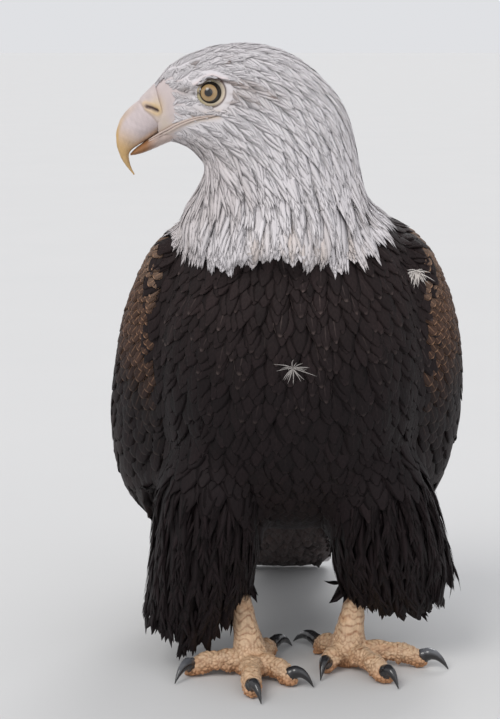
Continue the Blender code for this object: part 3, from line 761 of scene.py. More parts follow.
def head_coat(guide):
    """Bristles of the face, short feathers of the crown and cheeks, longer ones down to the nape."""
    def sizes(here):
        angle = turn(here)
        marks = (0.0, 12.0, 28.0, 44.0, 60.0, 74.0, 84.0, 96.0)
        length = np.interp(angle, marks, (0.042, 0.036, 0.028, 0.0200, 0.0135, 0.0090, 0.0062, 0.0042))
        width = np.interp(angle, marks, (0.0058, 0.0053, 0.0045, 0.0036, 0.0027, 0.0020, 0.0015, 0.0012))
        return length, width

    def gap_of(points):
        here = laid(points)
        _, width = sizes(here)
        gap = width * 0.66
        plane = here[:, [0, 2]]
        flank = np.abs(here[:, 1] - HEAD_Y) > 0.009
        eye = np.hypot(plane[:, 0] - LID_AT[0], plane[:, 1] - LID_AT[1]) < 0.0124
        gape, _, height = along_line(plane, GAPE)
        mouth = (gape < np.where(height > 0, 0.0026, 0.0032)) & (plane[:, 0] < GAPE_END_X + 0.002)
        edge = -0.0895 + 0.0012 * wander(points, 0.004, 31) - 0.010 * ramp(plane[:, 1], 0.480, 0.495)
        bare = (here[:, 0] < edge) & flank & (here[:, 2] < 0.4935) & (here[:, 2] > 0.446)
        gap[(flank & (eye | mouth)) | bare] = 0
        gap[here[:, 2] < 0.425] = 0
        return gap

    roots, normals = guide.scatter(gap_of, SEED + 1)
    here = laid(roots)
    length, width = sizes(here)
    rng = np.random.default_rng(SEED + 2)
    count = len(roots)
    length = length * rng.uniform(0.85, 1.2, count)
    width = width * rng.uniform(1.0, 1.3, count)
    heading = unit(head_flow(here) + 0.07 * rng.normal(size=(count, 3)))
    heading, lock = gathered(roots, heading, length, 0.0075, 0.45, SEED + 3)
    lift = rng.random(lock.max() + 1)[lock]
    sunk = np.minimum(0.0012, 0.16 * length)
    proud = 0.00035 + 0.012 * length * (0.5 * lift + 0.5 * rng.random(count))
    paths, facings = lay(guide, roots, normals, heading, length, 4, sunk, proud)
    tint = varied(markings(roots + heading * length[:, None] * 0.4, solid_of(roots)), 0.035, SEED + 3)
    unwrap = round_unwrap(at(-0.115, HEAD_Y, 0.47), at(0.07, HEAD_Y, 0.44))
    face = width < 0.0030
    for name, chosen, kind in (("coat_face", face, "tiny"), ("coat_head", ~face, "lance")):
        coat = Feathers(name, unwrap)
        coat.add(kind, paths[chosen], facings[chosen], width[chosen], tint[chosen], tint[chosen] * 1.04,
                 SEED + 4, thick=0.00016, root_shade_tip_light=(0.95, 1.0, 1.03), ragged=0.08)
        coat.finish("white_feather")


def neck_coat(guide):
    """Pointed white hackles down the neck, in locks that end in a ragged collar."""
    def gap_of(points):
        here = laid(points)
        solid = solid_of(points)
        gap = np.full(len(points), 0.0029)
        line = collar_z(here)
        gap[(solid != NECK) & (solid != HEAD) & (solid != TRUNK)] = 0
        gap[(here[:, 2] > 0.440) | (here[:, 2] < line + 0.005)] = 0
        return gap

    roots, normals = guide.scatter(gap_of, SEED + 11)
    here = laid(roots)
    rng = np.random.default_rng(SEED + 12)
    count = len(roots)
    length = np.interp(here[:, 2], (0.36, 0.40, 0.44), (0.052, 0.048, 0.042)) * rng.uniform(0.88, 1.12, count)
    width = np.interp(here[:, 2], (0.36, 0.44), (0.0074, 0.0067)) * rng.uniform(0.8, 1.15, count)
    heading = unit(head_flow(here) + 0.06 * rng.normal(size=(count, 3)))
    heading, lock = gathered(roots, heading, length, 0.0105, 0.50, SEED + 13)
    draw = rng.normal(size=(lock.max() + 1, 2))[lock]
    reach = (here[:, 2] - collar_z(here)) * 1.05 + 0.0045 + 0.0050 * draw[:, 0]
    reach = reach + 0.003 * rng.normal(size=count)
    length = np.clip(np.minimum(length, reach), 0.012, 0.06)
    proud = 0.0012 + 0.0007 * draw[:, 1].clip(-1, 2) + 0.0006 * rng.random(count)
    paths, facings = lay(guide, roots, normals, heading, length, 6, np.full(count, 0.0035), proud)
    tint = varied(markings(roots, solid_of(roots)), 0.045, SEED + 13)
    tint = np.where(tint.max(axis=1, keepdims=True) < 0.1, WHITE, tint)
    unwrap = round_unwrap(at(-0.008, -0.045, 0.46), at(-0.008, -0.045, 0.33))
    coat = Feathers("coat_neck", unwrap)
    coat.add("lance", paths, facings, width, tint, tint * 1.04, SEED + 14, thick=0.00025,
             root_shade_tip_light=(0.92, 1.0, 1.04), ragged=0.08, camber=0.06)
    return coat.finish("white_feather")


def trunk_coat(guide):
    """Broad dark feathers of chest, belly, flanks and upper back."""
    def gap_of(points):
        here = laid(points)
        solid = solid_of(points)
        gap = np.interp(here[:, 2], (0.12, 0.22, 0.34), (0.0068, 0.0070, 0.0056))
        body = (solid == TRUNK) | (solid == NECK)
        gap[~body | (here[:, 2] < 0.095) | (here[:, 2] > collar_z(here) + 0.012)] = 0
        gap[(here[:, 1] > 0.07) & (here[:, 2] < 0.27) & (here[:, 2] > 0.115)] = 0
        return gap

    roots, normals = guide.scatter(gap_of, SEED + 21)
    here = laid(roots)
    rng = np.random.default_rng(SEED + 22)
    count = len(roots)
    length = np.interp(here[:, 2], (0.12, 0.22, 0.36), (0.044, 0.044, 0.034)) * rng.uniform(0.85, 1.15, count)
    width = np.interp(here[:, 2], (0.12, 0.22, 0.36), (0.0165, 0.0170, 0.0125))
    width = width * rng.uniform(0.85, 1.15, count)
    heading = unit(trunk_flow(here) + 0.09 * rng.normal(size=(count, 3)))
    paths, facings = lay(guide, roots, normals, heading, length, 5, np.full(count, 0.0042),
                         0.0002 + 0.0011 * rng.random(count))
    dark = markings(roots, np.full(count, TRUNK))
    dark = np.where(dark.max(axis=1, keepdims=True) > 0.1, DARK + CHEST_BROWN, dark)
    tint = varied(dark, 0.14, SEED + 23)
    chest = ramp(here[:, 2], 0.24, 0.33) * ramp(here[:, 1], 0.0, -0.06)
    pale = rng.random(count) ** 4 * (0.10 + 0.90 * chest)
    trim = tint * 1.25 + np.array((0.085, 0.064, 0.058)) * pale[:, None]
    coat = Feathers("coat_trunk", round_unwrap(at(BODY_X, -0.02, 0.40), at(BODY_X, 0.12, 0.09)))
    coat.add("leaf", paths, facings, width, tint, trim, SEED + 24, thick=0.00032, root_shade_tip_light=(0.9, 1.0, 1.08),
             ragged=0.05, across=5)
    return coat.finish("dark_feather")


def wing_coat(guide, side, name):
    """Lesser, middle and greater coverts of one wing, from the bend down to its tip."""
    solid = WING_LEFT if side > 0 else WING_RIGHT

    def gap_of(points):
        share, _ = wing_flow(laid(points))
        gap = np.interp(share, (0.04, 0.15, 0.24, 0.34, 0.46), (0.0044, 0.0050, 0.0068, 0.0088, 0.0100))
        gap[(solid_of(points) != solid) | (share > 0.93)] = 0
        return gap

    roots, normals = guide.scatter(gap_of, SEED + 31 + side)
    here = laid(roots)
    keep = (normals[:, 0] * side > -0.15) | (here[:, 1] < 0.05)
    roots, normals, here = roots[keep], normals[keep], here[keep]
    share, run = wing_flow(here)
    rng = np.random.default_rng(SEED + 33 + side)
    count = len(roots)
    marks = (0.04, 0.15, 0.24, 0.34, 0.46, 0.6, 0.93)
    length = np.interp(share, marks, (0.0150, 0.0175, 0.026, 0.038, 0.050, 0.056, 0.040))
    length = length * rng.uniform(0.88, 1.12, count)
    width = np.interp(share, marks, (0.0078, 0.0092, 0.0130, 0.0165, 0.0195, 0.021, 0.017))
    width = width * rng.uniform(0.9, 1.1, count)
    heading = unit(run + 0.045 * rng.normal(size=(count, 3)))
    paths, facings = lay(guide, roots, normals, heading, length, 5, np.full(count, 0.0034),
                         0.0003 + 0.0008 * rng.random(count), follow=np.interp(share, (0.5, 0.8), (1.0, 0.8)))
    tint = varied(markings(roots, np.full(count, solid)), 0.13, SEED + 35)
    small = (ramp(share, 0.29, 0.13) * ramp(here[:, 1], 0.04, -0.01))[:, None]
    middle = 0.6 * ramp(share, 0.42, 0.22)[:, None]
    trim = tint * 1.3 + (COVERT_TRIM * small + np.array((0.045, 0.028, 0.020)) * middle
                         + np.array((0.010, 0.007, 0.006)))
    coat = Feathers(name, round_unwrap(at(side * 0.10, -0.03, 0.38), at(side * 0.05, 0.24, 0.06)))
    coat.add("round", paths, facings, width, tint, trim, SEED + 36, thick=0.00035, root_shade_tip_light=(0.85, 1.0, 1.08),
             ragged=0.03, across=5, camber=0.07)
    return coat.finish("dark_feather")


def wing_place(side, u, v):
    """Place on the outer face of the folded wing: u from bend to tip, v from upper to lower edge."""
    rows = np.array([sum(row, ()) for row in WING_ROWS])
    place = np.clip(u, 0, 1) * (len(rows) - 1)
    left = np.minimum(place.astype(int), len(rows) - 2)
    t = (place - left)[..., None]
    values = rows[left] * (1 - t) + rows[left + 1] * t
    upper, outer, lower = values[..., 0:3], values[..., 3:6], values[..., 6:9]
    pull = 2 * outer - (upper + lower) / 2
    v = np.asarray(v)[..., None]
    point = upper * (1 - v) ** 2 + pull * (2 * v * (1 - v)) + lower * v ** 2
    tuck = 1 - WING_TUCK[side] * ramp(u, TUCK_FROM, TUCK_TO)
    return np.stack([BODY_X + side * tuck * point[..., 0], point[..., 1], point[..., 2]], axis=-1) + STANCE


# Primaries, secondaries and tertials: how many, u and v of their roots and of their tips, each for the lowest
# and the highest feather, then width and height above the wing.
QUILL_ROWS = (
    (8, (0.56, 0.52), (0.96, 0.60), (0.86, 1.01), (0.92, 0.45), 0.019, 0.0012),
    (12, (0.44, 0.44), (0.93, 0.22), (0.76, 0.90), (0.90, 0.26), 0.024, 0.0022),
    (7, (0.38, 0.36), (0.36, 0.02), (0.84, 0.70), (0.34, 0.02), 0.029, 0.0034),
)
QUILL_STEPS, QUILL_STRAY, QUILL_SUNK = 13, 0.009, 0.0040


def wing_quills(guide, side, name):
    """Primaries, secondaries and tertials, laid one on another down the folded wing."""
    coat = Feathers(name, round_unwrap(at(side * 0.10, -0.03, 0.38), at(side * 0.05, 0.24, 0.06)))
    rng = np.random.default_rng(SEED + 41)
    for number, (count, root_u, root_v, tip_u, tip_v, width, high) in enumerate(QUILL_ROWS):
        k = np.linspace(0, 1, count)
        start = np.stack([np.interp(k, (0, 1), root_u), np.interp(k, (0, 1), root_v)], axis=1)
        end = np.stack([np.interp(k, (0, 1), tip_u), np.interp(k, (0, 1), tip_v)], axis=1)
        t = np.linspace(0, 1, QUILL_STEPS)[None, :, None]
        uv = start[:, None] * (1 - t) + end[:, None] * t
        uv[..., 1] += 0.04 * np.sin(np.pi * t[..., 0])
        flat = wing_place(side, uv[..., 0], uv[..., 1]).reshape(-1, 3)
        found, facing = guide.nearest(flat)
        stray = np.linalg.norm(flat - found, axis=1) > QUILL_STRAY
        found[stray] = flat[stray]
        places, facing = (each.reshape(count, QUILL_STEPS, 3) for each in (found, facing))
        for _ in range(3):
            places[:, 1:-1] = (places[:, :-2] + 2 * places[:, 1:-1] + places[:, 2:]) / 4
            facing[:, 1:-1] = unit(facing[:, :-2] + 2 * facing[:, 1:-1] + facing[:, 2:])
        lift = high - QUILL_SUNK * (1 - t) ** 3 + 0.0008 * k[:, None, None]
        places = places + facing * lift
        tint = varied(np.tile(DARK * 1.3 + 0.003, (count, 1)), 0.12, SEED + 42 + number)
        trim = tint * 1.3 + np.array((0.020, 0.014, 0.011))
        coat.add("blade", places, facing, np.full(count, width) * rng.uniform(0.95, 1.05, count), tint, trim,
                 SEED + 43 + number, thick=0.0007, camber=0.06, ragged=0.012, across=5, root_shade_tip_light=(0.9, 1.0, 1.1))
    return coat.finish("dark_feather")


def hem_z(x, side):
    return np.interp(x, [p[0] for p in THIGH_HEM[side]], [p[1] for p in THIGH_HEM[side]])


def thigh_coat(guide, side, name):
    """Loose pointed strands of one thigh, hanging in locks to a ragged hem."""
    solid = THIGH_LEFT if side > 0 else THIGH_RIGHT

    def gap_of(points):
        here = laid(points)
        gap = np.full(len(points), 0.0042)
        gap[(solid_of(points) != solid) | (here[:, 2] < hem_z(here[:, 0], side) + 0.012)] = 0
        return gap

    roots, normals = guide.scatter(gap_of, SEED + 51 + side)
    here = laid(roots)
    rng = np.random.default_rng(SEED + 53 + side)
    count = len(roots)
    length = 0.046 * rng.uniform(0.75, 1.25, count)
    width = 0.0062 * rng.uniform(0.7, 1.2, count)
    heading = unit(thigh_flow(here) + 0.10 * rng.normal(size=(count, 3)))
    heading, lock = gathered(roots, heading, length, 0.013, 0.85, SEED + 56)
    draw = rng.normal(size=(lock.max() + 1, 2))[lock]
    low = ramp(here[:, 2], hem_z(here[:, 0], side) + 0.075, hem_z(here[:, 0], side) + 0.02)
    outward = (np.abs(here[:, 0]) > 0.09) & (low > 0.3)
    splay = np.zeros((count, 3))
    splay[:, 0] = 0.22 * side * outward * np.abs(draw[:, 1])
    heading = unit(heading + splay)
    room = here[:, 2] - hem_z(here[:, 0], side) + 0.004 + 0.0080 * draw[:, 0] + 0.003 * rng.normal(size=count)
    length = np.clip(length, 0.014, np.maximum(room, 0.015))
    paths, facings = lay(guide, roots, normals, heading, length, 5, np.full(count, 0.0036),
                         0.0006 + 0.0014 * rng.random(count) + 0.0012 * low * draw[:, 1].clip(-0.4, 2),
                         follow=1 - 0.9 * low)
    tint = varied(np.tile(DARK * 1.15, (count, 1)), 0.2, SEED + 54)
    trim = tint * 1.3 + np.array((0.012, 0.009, 0.009)) * rng.random((count, 1)) ** 2
    end_x, end_z = THIGH_END[side]
    coat = Feathers(name, round_unwrap(at(side * 0.05, -0.01, 0.22), at(end_x, 0.01, end_z)))
    coat.add("strand", paths, facings, width, tint, trim, SEED + 55, thick=0.0003, root_shade_tip_light=(0.85, 1.0, 1.1),
             ragged=0.14)
    return coat.finish("dark_feather")


def tail_coat(guide):
    """Twelve tail feathers fanned on each other, coverts over their roots and dusky ones beneath."""
    coat = Feathers("coat_tail", round_unwrap(at(BODY_X, 0.13, 0.13), at(BODY_X, 0.30, 0.0)))
    line = spline(TAIL_LINE, 25)
    count, steps = 12, 13
    k = np.linspace(-1, 1, count)
    order = 1 - np.abs(k)
    ends = 1 - 0.13 * np.abs(k) ** 1.6
    rows = np.stack([[np.interp(np.linspace(0, end, steps), np.linspace(0, 1, 25), line[:, column])
                      for column in range(3)] for end in ends])
    fan = (0.55 + 0.30 * np.linspace(0, 1, steps))[None]
    middle = np.stack([BODY_X + k[:, None] * fan * rows[:, 2], rows[:, 0], rows[:, 1]], axis=2) + STANCE
    run = unit(np.gradient(middle, axis=1))
    facing = unit(np.cross(np.array((1.0, 0.0, 0.0)), run))
    facing = facing * np.sign(facing[..., 2:3])
    share = np.linspace(0, 1, steps)[None, :, None]
    middle = middle + facing * (0.0006 + 0.0050 * order[:, None, None]) * (1 - 0.35 * share)
    middle[..., 2] = np.maximum(middle[..., 2], 0.0016 + 0.0040 * order[:, None])
    tint = varied(np.tile(WHITE, (count, 1)), 0.03, SEED + 61)
    coat.add("blade", middle, facing, np.full(count, 0.0185), tint, tint * 0.92, SEED + 62, thick=0.0008,
             camber=0.10, ragged=0.02, across=5, root_shade_tip_light=(0.85, 0.97, 1.0))

    def gap_of(points):
        here = laid(points)
        gap = np.full(len(points), 0.0062)
        gap[(solid_of(points) != TAIL) | (here[:, 1] > 0.27)] = 0
        return gap

    roots, normals = guide.scatter(gap_of, SEED + 63)
    rng = np.random.default_rng(SEED + 64)
    under = normals[:, 2] < 0.1
    keep = under | (laid(roots)[:, 1] < 0.215)
    roots, normals, under = roots[keep], normals[keep], under[keep]
    count = len(roots)
    heading = unit(np.array((0.0, 0.75, -0.66)) + 0.07 * rng.normal(size=(count, 3)))
    length = 0.042 * rng.uniform(0.85, 1.15, count)
    length = np.minimum(length, (0.292 - laid(roots)[:, 1]) * 1.2).clip(0.015, 0.05)
    paths, facings = lay(guide, roots, normals, heading, length, 5, np.full(count, 0.003),
                         0.0004 + 0.0009 * rng.random(count))
    paths[..., 2] = np.maximum(paths[..., 2], 0.0008)
    pale = np.tile(WHITE, (count, 1))
    tint = varied(np.where(under[:, None], DUSKY, pale), 0.08, SEED + 65)
    coat.add("leaf", paths, facings, 0.0145 * rng.uniform(0.9, 1.1, count), tint, tint * 1.06, SEED + 66,
             thick=0.0004, ragged=0.05)
    return coat.finish("white_feather")


DOWN = (                                # place, size, number of barbs, droop and tone of each shed feather
    ((0.0024, -0.1090, 0.2731), 0.015, 34, 0.35, 0.36),
    ((0.1030, -0.0600, 0.3430), 0.012, 60, 0.80, 0.72),
)
DOWN_PROUD, DOWN_TINGE = 0.003, (1.0, 0.93, 0.88)


def loose_down(guide):
    """Two shed down feathers caught in the plumage, as sprays of fine barbs."""
    coat = Feathers("down", round_unwrap(at(-0.10, -0.12, 0.27), at(0.14, -0.12, 0.35)))
    rng = np.random.default_rng(SEED + 91)
    for place, size, count, stiff, tone in DOWN:
        found, facing = guide.nearest(at(*place)[None])
        start = found[0] + facing[0] * DOWN_PROUD
        angle = rng.uniform(0, 2 * np.pi, count)
        reach = size * rng.uniform(0.35, 1.0, count)
        t = np.linspace(0, 1, 6)[None, :, None]
        out = np.stack([np.cos(angle), np.full(count, -0.25), np.sin(angle) * 0.75], axis=1)
        bend = np.stack([0.4 * rng.normal(size=count), np.full(count, -0.1), np.full(count, -0.5)], axis=1)
        places = start + (out * reach[:, None])[:, None] * t + (bend * size * stiff)[:, None] * t ** 2
        facing = np.tile(np.array((0.1, -1.0, 0.1)) / 1.01, (count, 6, 1))
        tint = varied(np.full((count, 3), tone) * DOWN_TINGE, 0.1, SEED + 92)
        coat.add("strand", places, facing, np.full(count, 0.0007), tint, tint, SEED + 93, thick=0.0002,
                 root_shade_tip_light=(1, 1, 1))
    return coat.finish("white_feather")


# ---------------------------------------------------------------- feet

ANKLES = {"right": (-0.029, -0.020), "left": (0.051, 0.004)}
TOE_RADIUS, TOE_END_RADIUS, TOE_ARCH, TOE_START, FLOOR_CUT = 0.0098, 0.0084, 0.0065, 0.16, 0.0006
CLAW_RADIUS, CLAW_ARCH, CLAW_TIP_Z = 0.0053, 0.0110, 0.0010
TOES = {
    "right": {1: ((-0.014, 0.020), (0.006, 0.047)), 2: ((0.0010, -0.0500), (0.0212, -0.0560)),
              3: ((-0.0297, -0.0755), (-0.0216, -0.0945)), 4: ((-0.0780, -0.0260), (-0.0920, -0.0480))},
    "left": {1: ((0.0300, 0.0300), (0.0075, 0.0590)), 2: ((0.0335, -0.0200), (0.0275, -0.0405)),
             3: ((0.0795, -0.0440), (0.0900, -0.0600)), 4: ((0.1130, -0.0045), (0.1355, -0.0130))},
}
SCALE_TOP_LIT, SCALE_GROOVE_SHADE = np.array((0.60, 0.415, 0.265)), np.array((0.27, 0.125, 0.060))
SCALE_WARM = np.array((0.42, 0.19, 0.080))
FOOT_PARTS = ["shank_left", "shank_right"] + [f"toe_{side}_{n}" for side in TOES for n in TOES[side]]


def toe_line(side, number):
    """Axis of a toe from inside the ball to its last pad, with its radii."""
    pad = np.array((*TOES[side][number][0], 0.0))
    root = np.array((*ANKLES[side], 0.0)) * (1 - TOE_START) + pad * TOE_START
    t = np.linspace(0, 1, 7)
    radius = TOE_RADIUS + (TOE_END_RADIUS - TOE_RADIUS) * t
    radius = radius * (1 - 0.08 * np.cos(4 * np.pi * t))
    line = root + (pad - root) * t[:, None]
    line[:, 2] = radius - FLOOR_CUT + TOE_ARCH * np.sin(np.pi * t) * (1 - 0.35 * t)
    return line, radius


def claw_line(side, number, steps):
    line, radius = toe_line(side, number)
    tip = np.array((*TOES[side][number][1], CLAW_TIP_Z))
    start = line[-1] + (0, 0, radius[-1] * 0.15)
    crest = (start + tip) / 2
    crest[2] = start[2] + CLAW_ARCH
    t = np.linspace(0, 1, steps)[:, None]
    return start * (1 - t) ** 2 + crest * 2 * t * (1 - t) + tip * t ** 2


def nearest_two(points, seeds):
    """Distances from each point to the nearest and the second nearest seed."""
    tree = point_tree(seeds)
    found = [tree.find_n(point, 2) for point in points.tolist()]
    return np.array([f[0][2] for f in found]), np.array([f[1][2] for f in found])


def foot_skin():
    """Shanks and toes as one skin: scutes along the top of each toe, round bumps and pads elsewhere."""
    mesh = remeshed(joined([node_geometry(name) for name in FOOT_PARTS], "foot_form"), FOOT_VOXEL)
    cropped(mesh, at(0, 0, SHANK_TOP), (0, 0, 1))
    relax(mesh, 8)
    points, normals = points_of(mesh), normals_of(mesh)
    here = laid(points)
    guide = Guide(mesh)
    seeds, _ = guide.scatter(lambda p: 0.0026 + 0.0009 * wander(p, 0.008, 32).clip(-1, 1), SEED + 71)
    first, second = nearest_two(points, seeds)
    bumps = np.clip((second - first) / 0.0016, 0, 1) ** 0.8
    best = np.full(len(points), 9.0)
    rings = np.zeros(len(points))
    for side in TOES:
        for number in TOES[side]:
            line, _ = toe_line(side, number)
            start, run = line[0], line[-1] - line[0]
            t = np.clip(((here - start) @ run) / (run @ run), 0, 1)
            away = np.linalg.norm(here[:, :2] - (start + t[:, None] * run)[:, :2], axis=1)
            nearer = away < best
            best = np.where(nearer, away, best)
            length = np.linalg.norm(run)
            warp = 0.0022 * wander(here, 0.007, 9 + number)
            band = np.abs(((t * length + warp) / 0.0042) % 1 - 0.5) * 2
            rings = np.where(nearer, band, rings)
    shank = ramp(here[:, 2], 0.020, 0.030)
    shank_band = np.abs(((here[:, 2] + 0.0028 * wander(here, 0.009, 4)) / 0.0060) % 1 - 0.5) * 2
    groove = np.where(shank > 0.5, shank_band, rings)
    scutes = 1 - ramp(groove, 0.50, 0.98)
    top = ramp(normals[:, 2], 0.35, 0.80) * (best < 0.006)
    top = np.maximum(top * (1 - shank), 0.55 * shank * ramp(-normals[:, 1], 0.2, 0.6))
    pad = ramp(normals[:, 2], 0.25, -0.4) * (1 - shank)
    knob = ramp(wander(here, 0.0075, 33), -0.1, 0.9) * (1 - shank)
    relief = top * scutes * 0.00045 + (1 - top) * bumps * (0.0007 + 0.0007 * pad) * (1 - 0.6 * shank)
    wrinkle = 0.00030 * wander(here, 0.0026, 8) + 0.0016 * knob * (0.35 + pad)
    grounded = ramp(here[:, 2], 0.0004, 0.0030)
    points = points + normals * ((relief + wrinkle - 0.0014) * grounded)[:, None]
    points[:, 2] = np.maximum(points[:, 2], 0.0)
    set_points(mesh, points)
    height = np.where(top > 0.5, scutes, bumps)
    # Painted highlight and shade: raised scales are lightened, and the grooves between them are darkened to
    # deep orange-brown over the skin's own orange.
    light = np.clip(0.30 + 0.70 * height + 0.25 * wander(here, 0.0024, 14), 0, 1)
    colour = blended(SCALE_GROOVE_SHADE, SCALE_TOP_LIT, light)
    # Deeper orange towards the floor, partly the skin's own orange and partly painted shade where the toes
    # meet it, and in random patches.
    orange_and_floor_shade = 0.85 * ramp(here[:, 2], 0.014, 0.003) + 0.35 * ramp(wander(here, 0.012, 3), 0.1, 0.9)
    colour = blended(colour, SCALE_WARM * (0.5 + 0.6 * light)[:, None], np.clip(orange_and_floor_shade, 0, 0.85))
    colour *= (1 + 0.10 * wander(here, 0.004, 2))[:, None]
    return mesh, colour


# ---------------------------------------------------------------- skin

LID, LID_OLIVE, LID_CREAM = (0.44, 0.365, 0.245), (0.34, 0.32, 0.13), (0.62, 0.53, 0.42)
LID_OUTLINE, EYE_RIM = (0.085, 0.045, 0.032), (0.012, 0.008, 0.007)
BROW_SHADOW, BROW_CREST_HIGHLIGHT = (0.050, 0.022, 0.020), (0.66, 0.57, 0.57)
LIP, GAPE_CREAM, GAPE_CREASE_SHADE = np.array((0.56, 0.46, 0.41)), (0.58, 0.47, 0.38), (0.10, 0.05, 0.035)
CERE, CERE_GOLD, CERE_CREAM = np.array((0.545, 0.465, 0.455)), (0.60, 0.455, 0.26), (0.60, 0.50, 0.36)

def gaze(side):
    """Direction that an eye looks in: outward, a little forward and up."""
    return unit(np.array((-0.11, 0.985, 0.13)) * (1, side, 1))


def lid_axis(side):
    """Direction in which the lids open."""
    return unit(np.array((0.05, 0.985, 0.17)) * (1, side, 1))


def eye_middle(side):
    return at(EYE_AT[0], HEAD_Y + side * EYE_OUT, EYE_AT[2])


def lid_ring(side, plain):
    """Round patch of skin from the eyeball out: lids, the fold round them and the brow above.

    Returns its points, triangles and colours."""
    axis = lid_axis(side)
    up = unit(np.array((0.0, 0.0, 1.0)) - axis[2] * axis)
    across = np.cross(axis, up) * side
    phi = np.linspace(0, 2 * np.pi, 120, endpoint=False)
    reach = np.concatenate([np.linspace(0.0072, 0.0120, 26), np.linspace(0.0124, 0.0172, 14)])
    spoke = np.cos(phi)[:, None] * up + np.sin(phi)[:, None] * across
    middle = eye_middle(side)
    base = np.empty((len(reach), len(phi)))
    for row, r in enumerate(reach):
        for column in range(len(phi)):
            high = middle + spoke[column] * max(r, 0.0112) + axis * 0.05
            hit = plain.ray_cast(Vector(high), Vector(-axis), 0.09)
            base[row, column] = 0.05 - hit[3] if hit[0] is not None else 0.007
    for _ in range(4):
        base = (np.roll(base, 1, axis=1) + base * 2 + np.roll(base, -1, axis=1)) / 4
    flat = middle + reach[:, None, None] * spoke[None]
    plane = laid(flat.reshape(-1, 3) + axis * 0.008)[:, [0, 2]]
    relief = face_relief(plane).reshape(base.shape)
    r = reach[:, None]
    contact = 0.0068 + (r - 0.0080) * np.where(r < 0.0080, 2.2, 0.25)
    settle = ramp(r, 0.0088, 0.0118)
    height = contact * (1 - settle) + (base + relief) * settle
    height = height + 0.0011 * np.exp(-((r - 0.0093) / 0.0009) ** 2)
    height = height - 0.0007 * np.exp(-((r - 0.0111) / 0.0006) ** 2)
    height = height - 0.0006 * ramp(r, 0.0155, 0.0170)
    angle = phi[None] + 0 * r
    wrinkles = 0.00012 * np.sin(angle * 26 + 3 * np.sin(angle * 5))
    height = height + wrinkles * np.exp(-((r - 0.0100) / 0.0012) ** 2)
    points = flat + height[..., None] * axis
    rows, columns = len(reach), len(phi)
    quads = grid_faces(rows, columns)
    if side > 0:
        quads = quads[:, ::-1]
    tris = np.concatenate([quads[:, [0, 1, 2]], quads[:, [0, 2, 3]]])
    points = points.reshape(-1, 3)
    r = np.repeat(reach, columns)
    away, share, above = along_line(plane, BROW)
    colour = face_colours(points)
    lid = np.exp(-((r - 0.0094) / 0.0013) ** 4)
    colour = blended(colour, LID, lid)
    colour = blended(colour, LID_OLIVE, 0.5 * lid * spot(plane, -0.0695, 0.4765, 0.004, 0.004))
    colour = blended(colour, (0.33, 0.31, 0.17), 0.6 * lid * ramp(plane[:, 1], 0.4865, 0.4900))
    colour = blended(colour, LID_OUTLINE, 0.85 * np.exp(-((r - 0.0112) / 0.0007) ** 2))
    colour = blended(colour, EYE_RIM, ramp(r, 0.0085, 0.0081))
    under = np.exp(-((away - 0.0015) / 0.0014) ** 2) * (above < 0)
    under = under * ramp(share, 0.12, 0.3) * ramp(share, 0.95, 0.7)
    colour = blended(colour, BROW_SHADOW, 0.9 * under)
    # Painted highlight: the brow's crest is lighter pink along its top.
    crest = np.exp(-(away / 0.0016) ** 2) * (above >= -0.0002)
    crest = crest * ramp(share, 0.05, 0.2) * ramp(share, 1.0, 0.7)
    colour = blended(colour, BROW_CREST_HIGHLIGHT, crest)
    # Painted shade: a dark wedge in the front corner of the eye.
    colour = blended(colour, (0.020, 0.013, 0.012), 0.95 * spot(plane, -0.0712, 0.4808, 0.0036, 0.0014))
    colour = blended(colour, LID_CREAM, 0.8 * lid * ramp(plane[:, 0], -0.0580, -0.0520))
    return points, tris, colour


LIPS, LIP_STEPS = ((0.0010, 0.00085), (-0.0012, 0.00105)), 40   # offset from the gape and radius of each lip


def lips(side, plain):
    """Two soft rolls of skin along the mouth, with their colours."""
    made = []
    for offset, most in LIPS:
        line = spline(GAPE, LIP_STEPS)
        line[:, 1] += offset * np.sin(np.pi * np.linspace(0.12, 1.0, LIP_STEPS)) ** 0.6
        path = []
        for x, z in line:
            start = at(x, HEAD_Y + side * 0.08, z)
            hit = plain.ray_cast(Vector(start), Vector((0, -side, 0)), 0.09)
            y = hit[0][1] if hit[0] is not None else start[1] - side * 0.064
            path.append((x, y, z))
        path = np.array(path)
        path[:, 1] = np.convolve(np.pad(path[:, 1], 3, "edge"), np.ones(7) / 7, "valid")
        path[:, 1] -= side * most * 0.25
        t = np.linspace(0, 1, LIP_STEPS)
        radius = most * np.sin(np.pi * (0.05 + 0.93 * t)) ** 0.8
        points, tris = swept(path, radius, 12)
        shade = 1 + 0.06 * wander(points, 0.003, 12)
        made.append((points, tris, LIP * shade[:, None]))
    return made


def cere_colour(plane):
    """Soft grey-pink skin at the root of the bill, yellower round the nostrils."""
    colour = np.tile(CERE, (len(plane), 1))
    colour = blended(colour, CERE_GOLD, 0.65 * spot(plane, -0.1010, 0.4700, 0.0050, 0.0075))
    colour = blended(colour, CERE_CREAM, 0.45 * spot(plane, -0.0960, 0.4560, 0.0050, 0.0080))
    flat = np.stack([plane[:, 0], plane[:, 1], np.zeros(len(plane))], axis=1)
    return colour * (1 + 0.035 * wander(flat, 0.006, 44))[:, None]


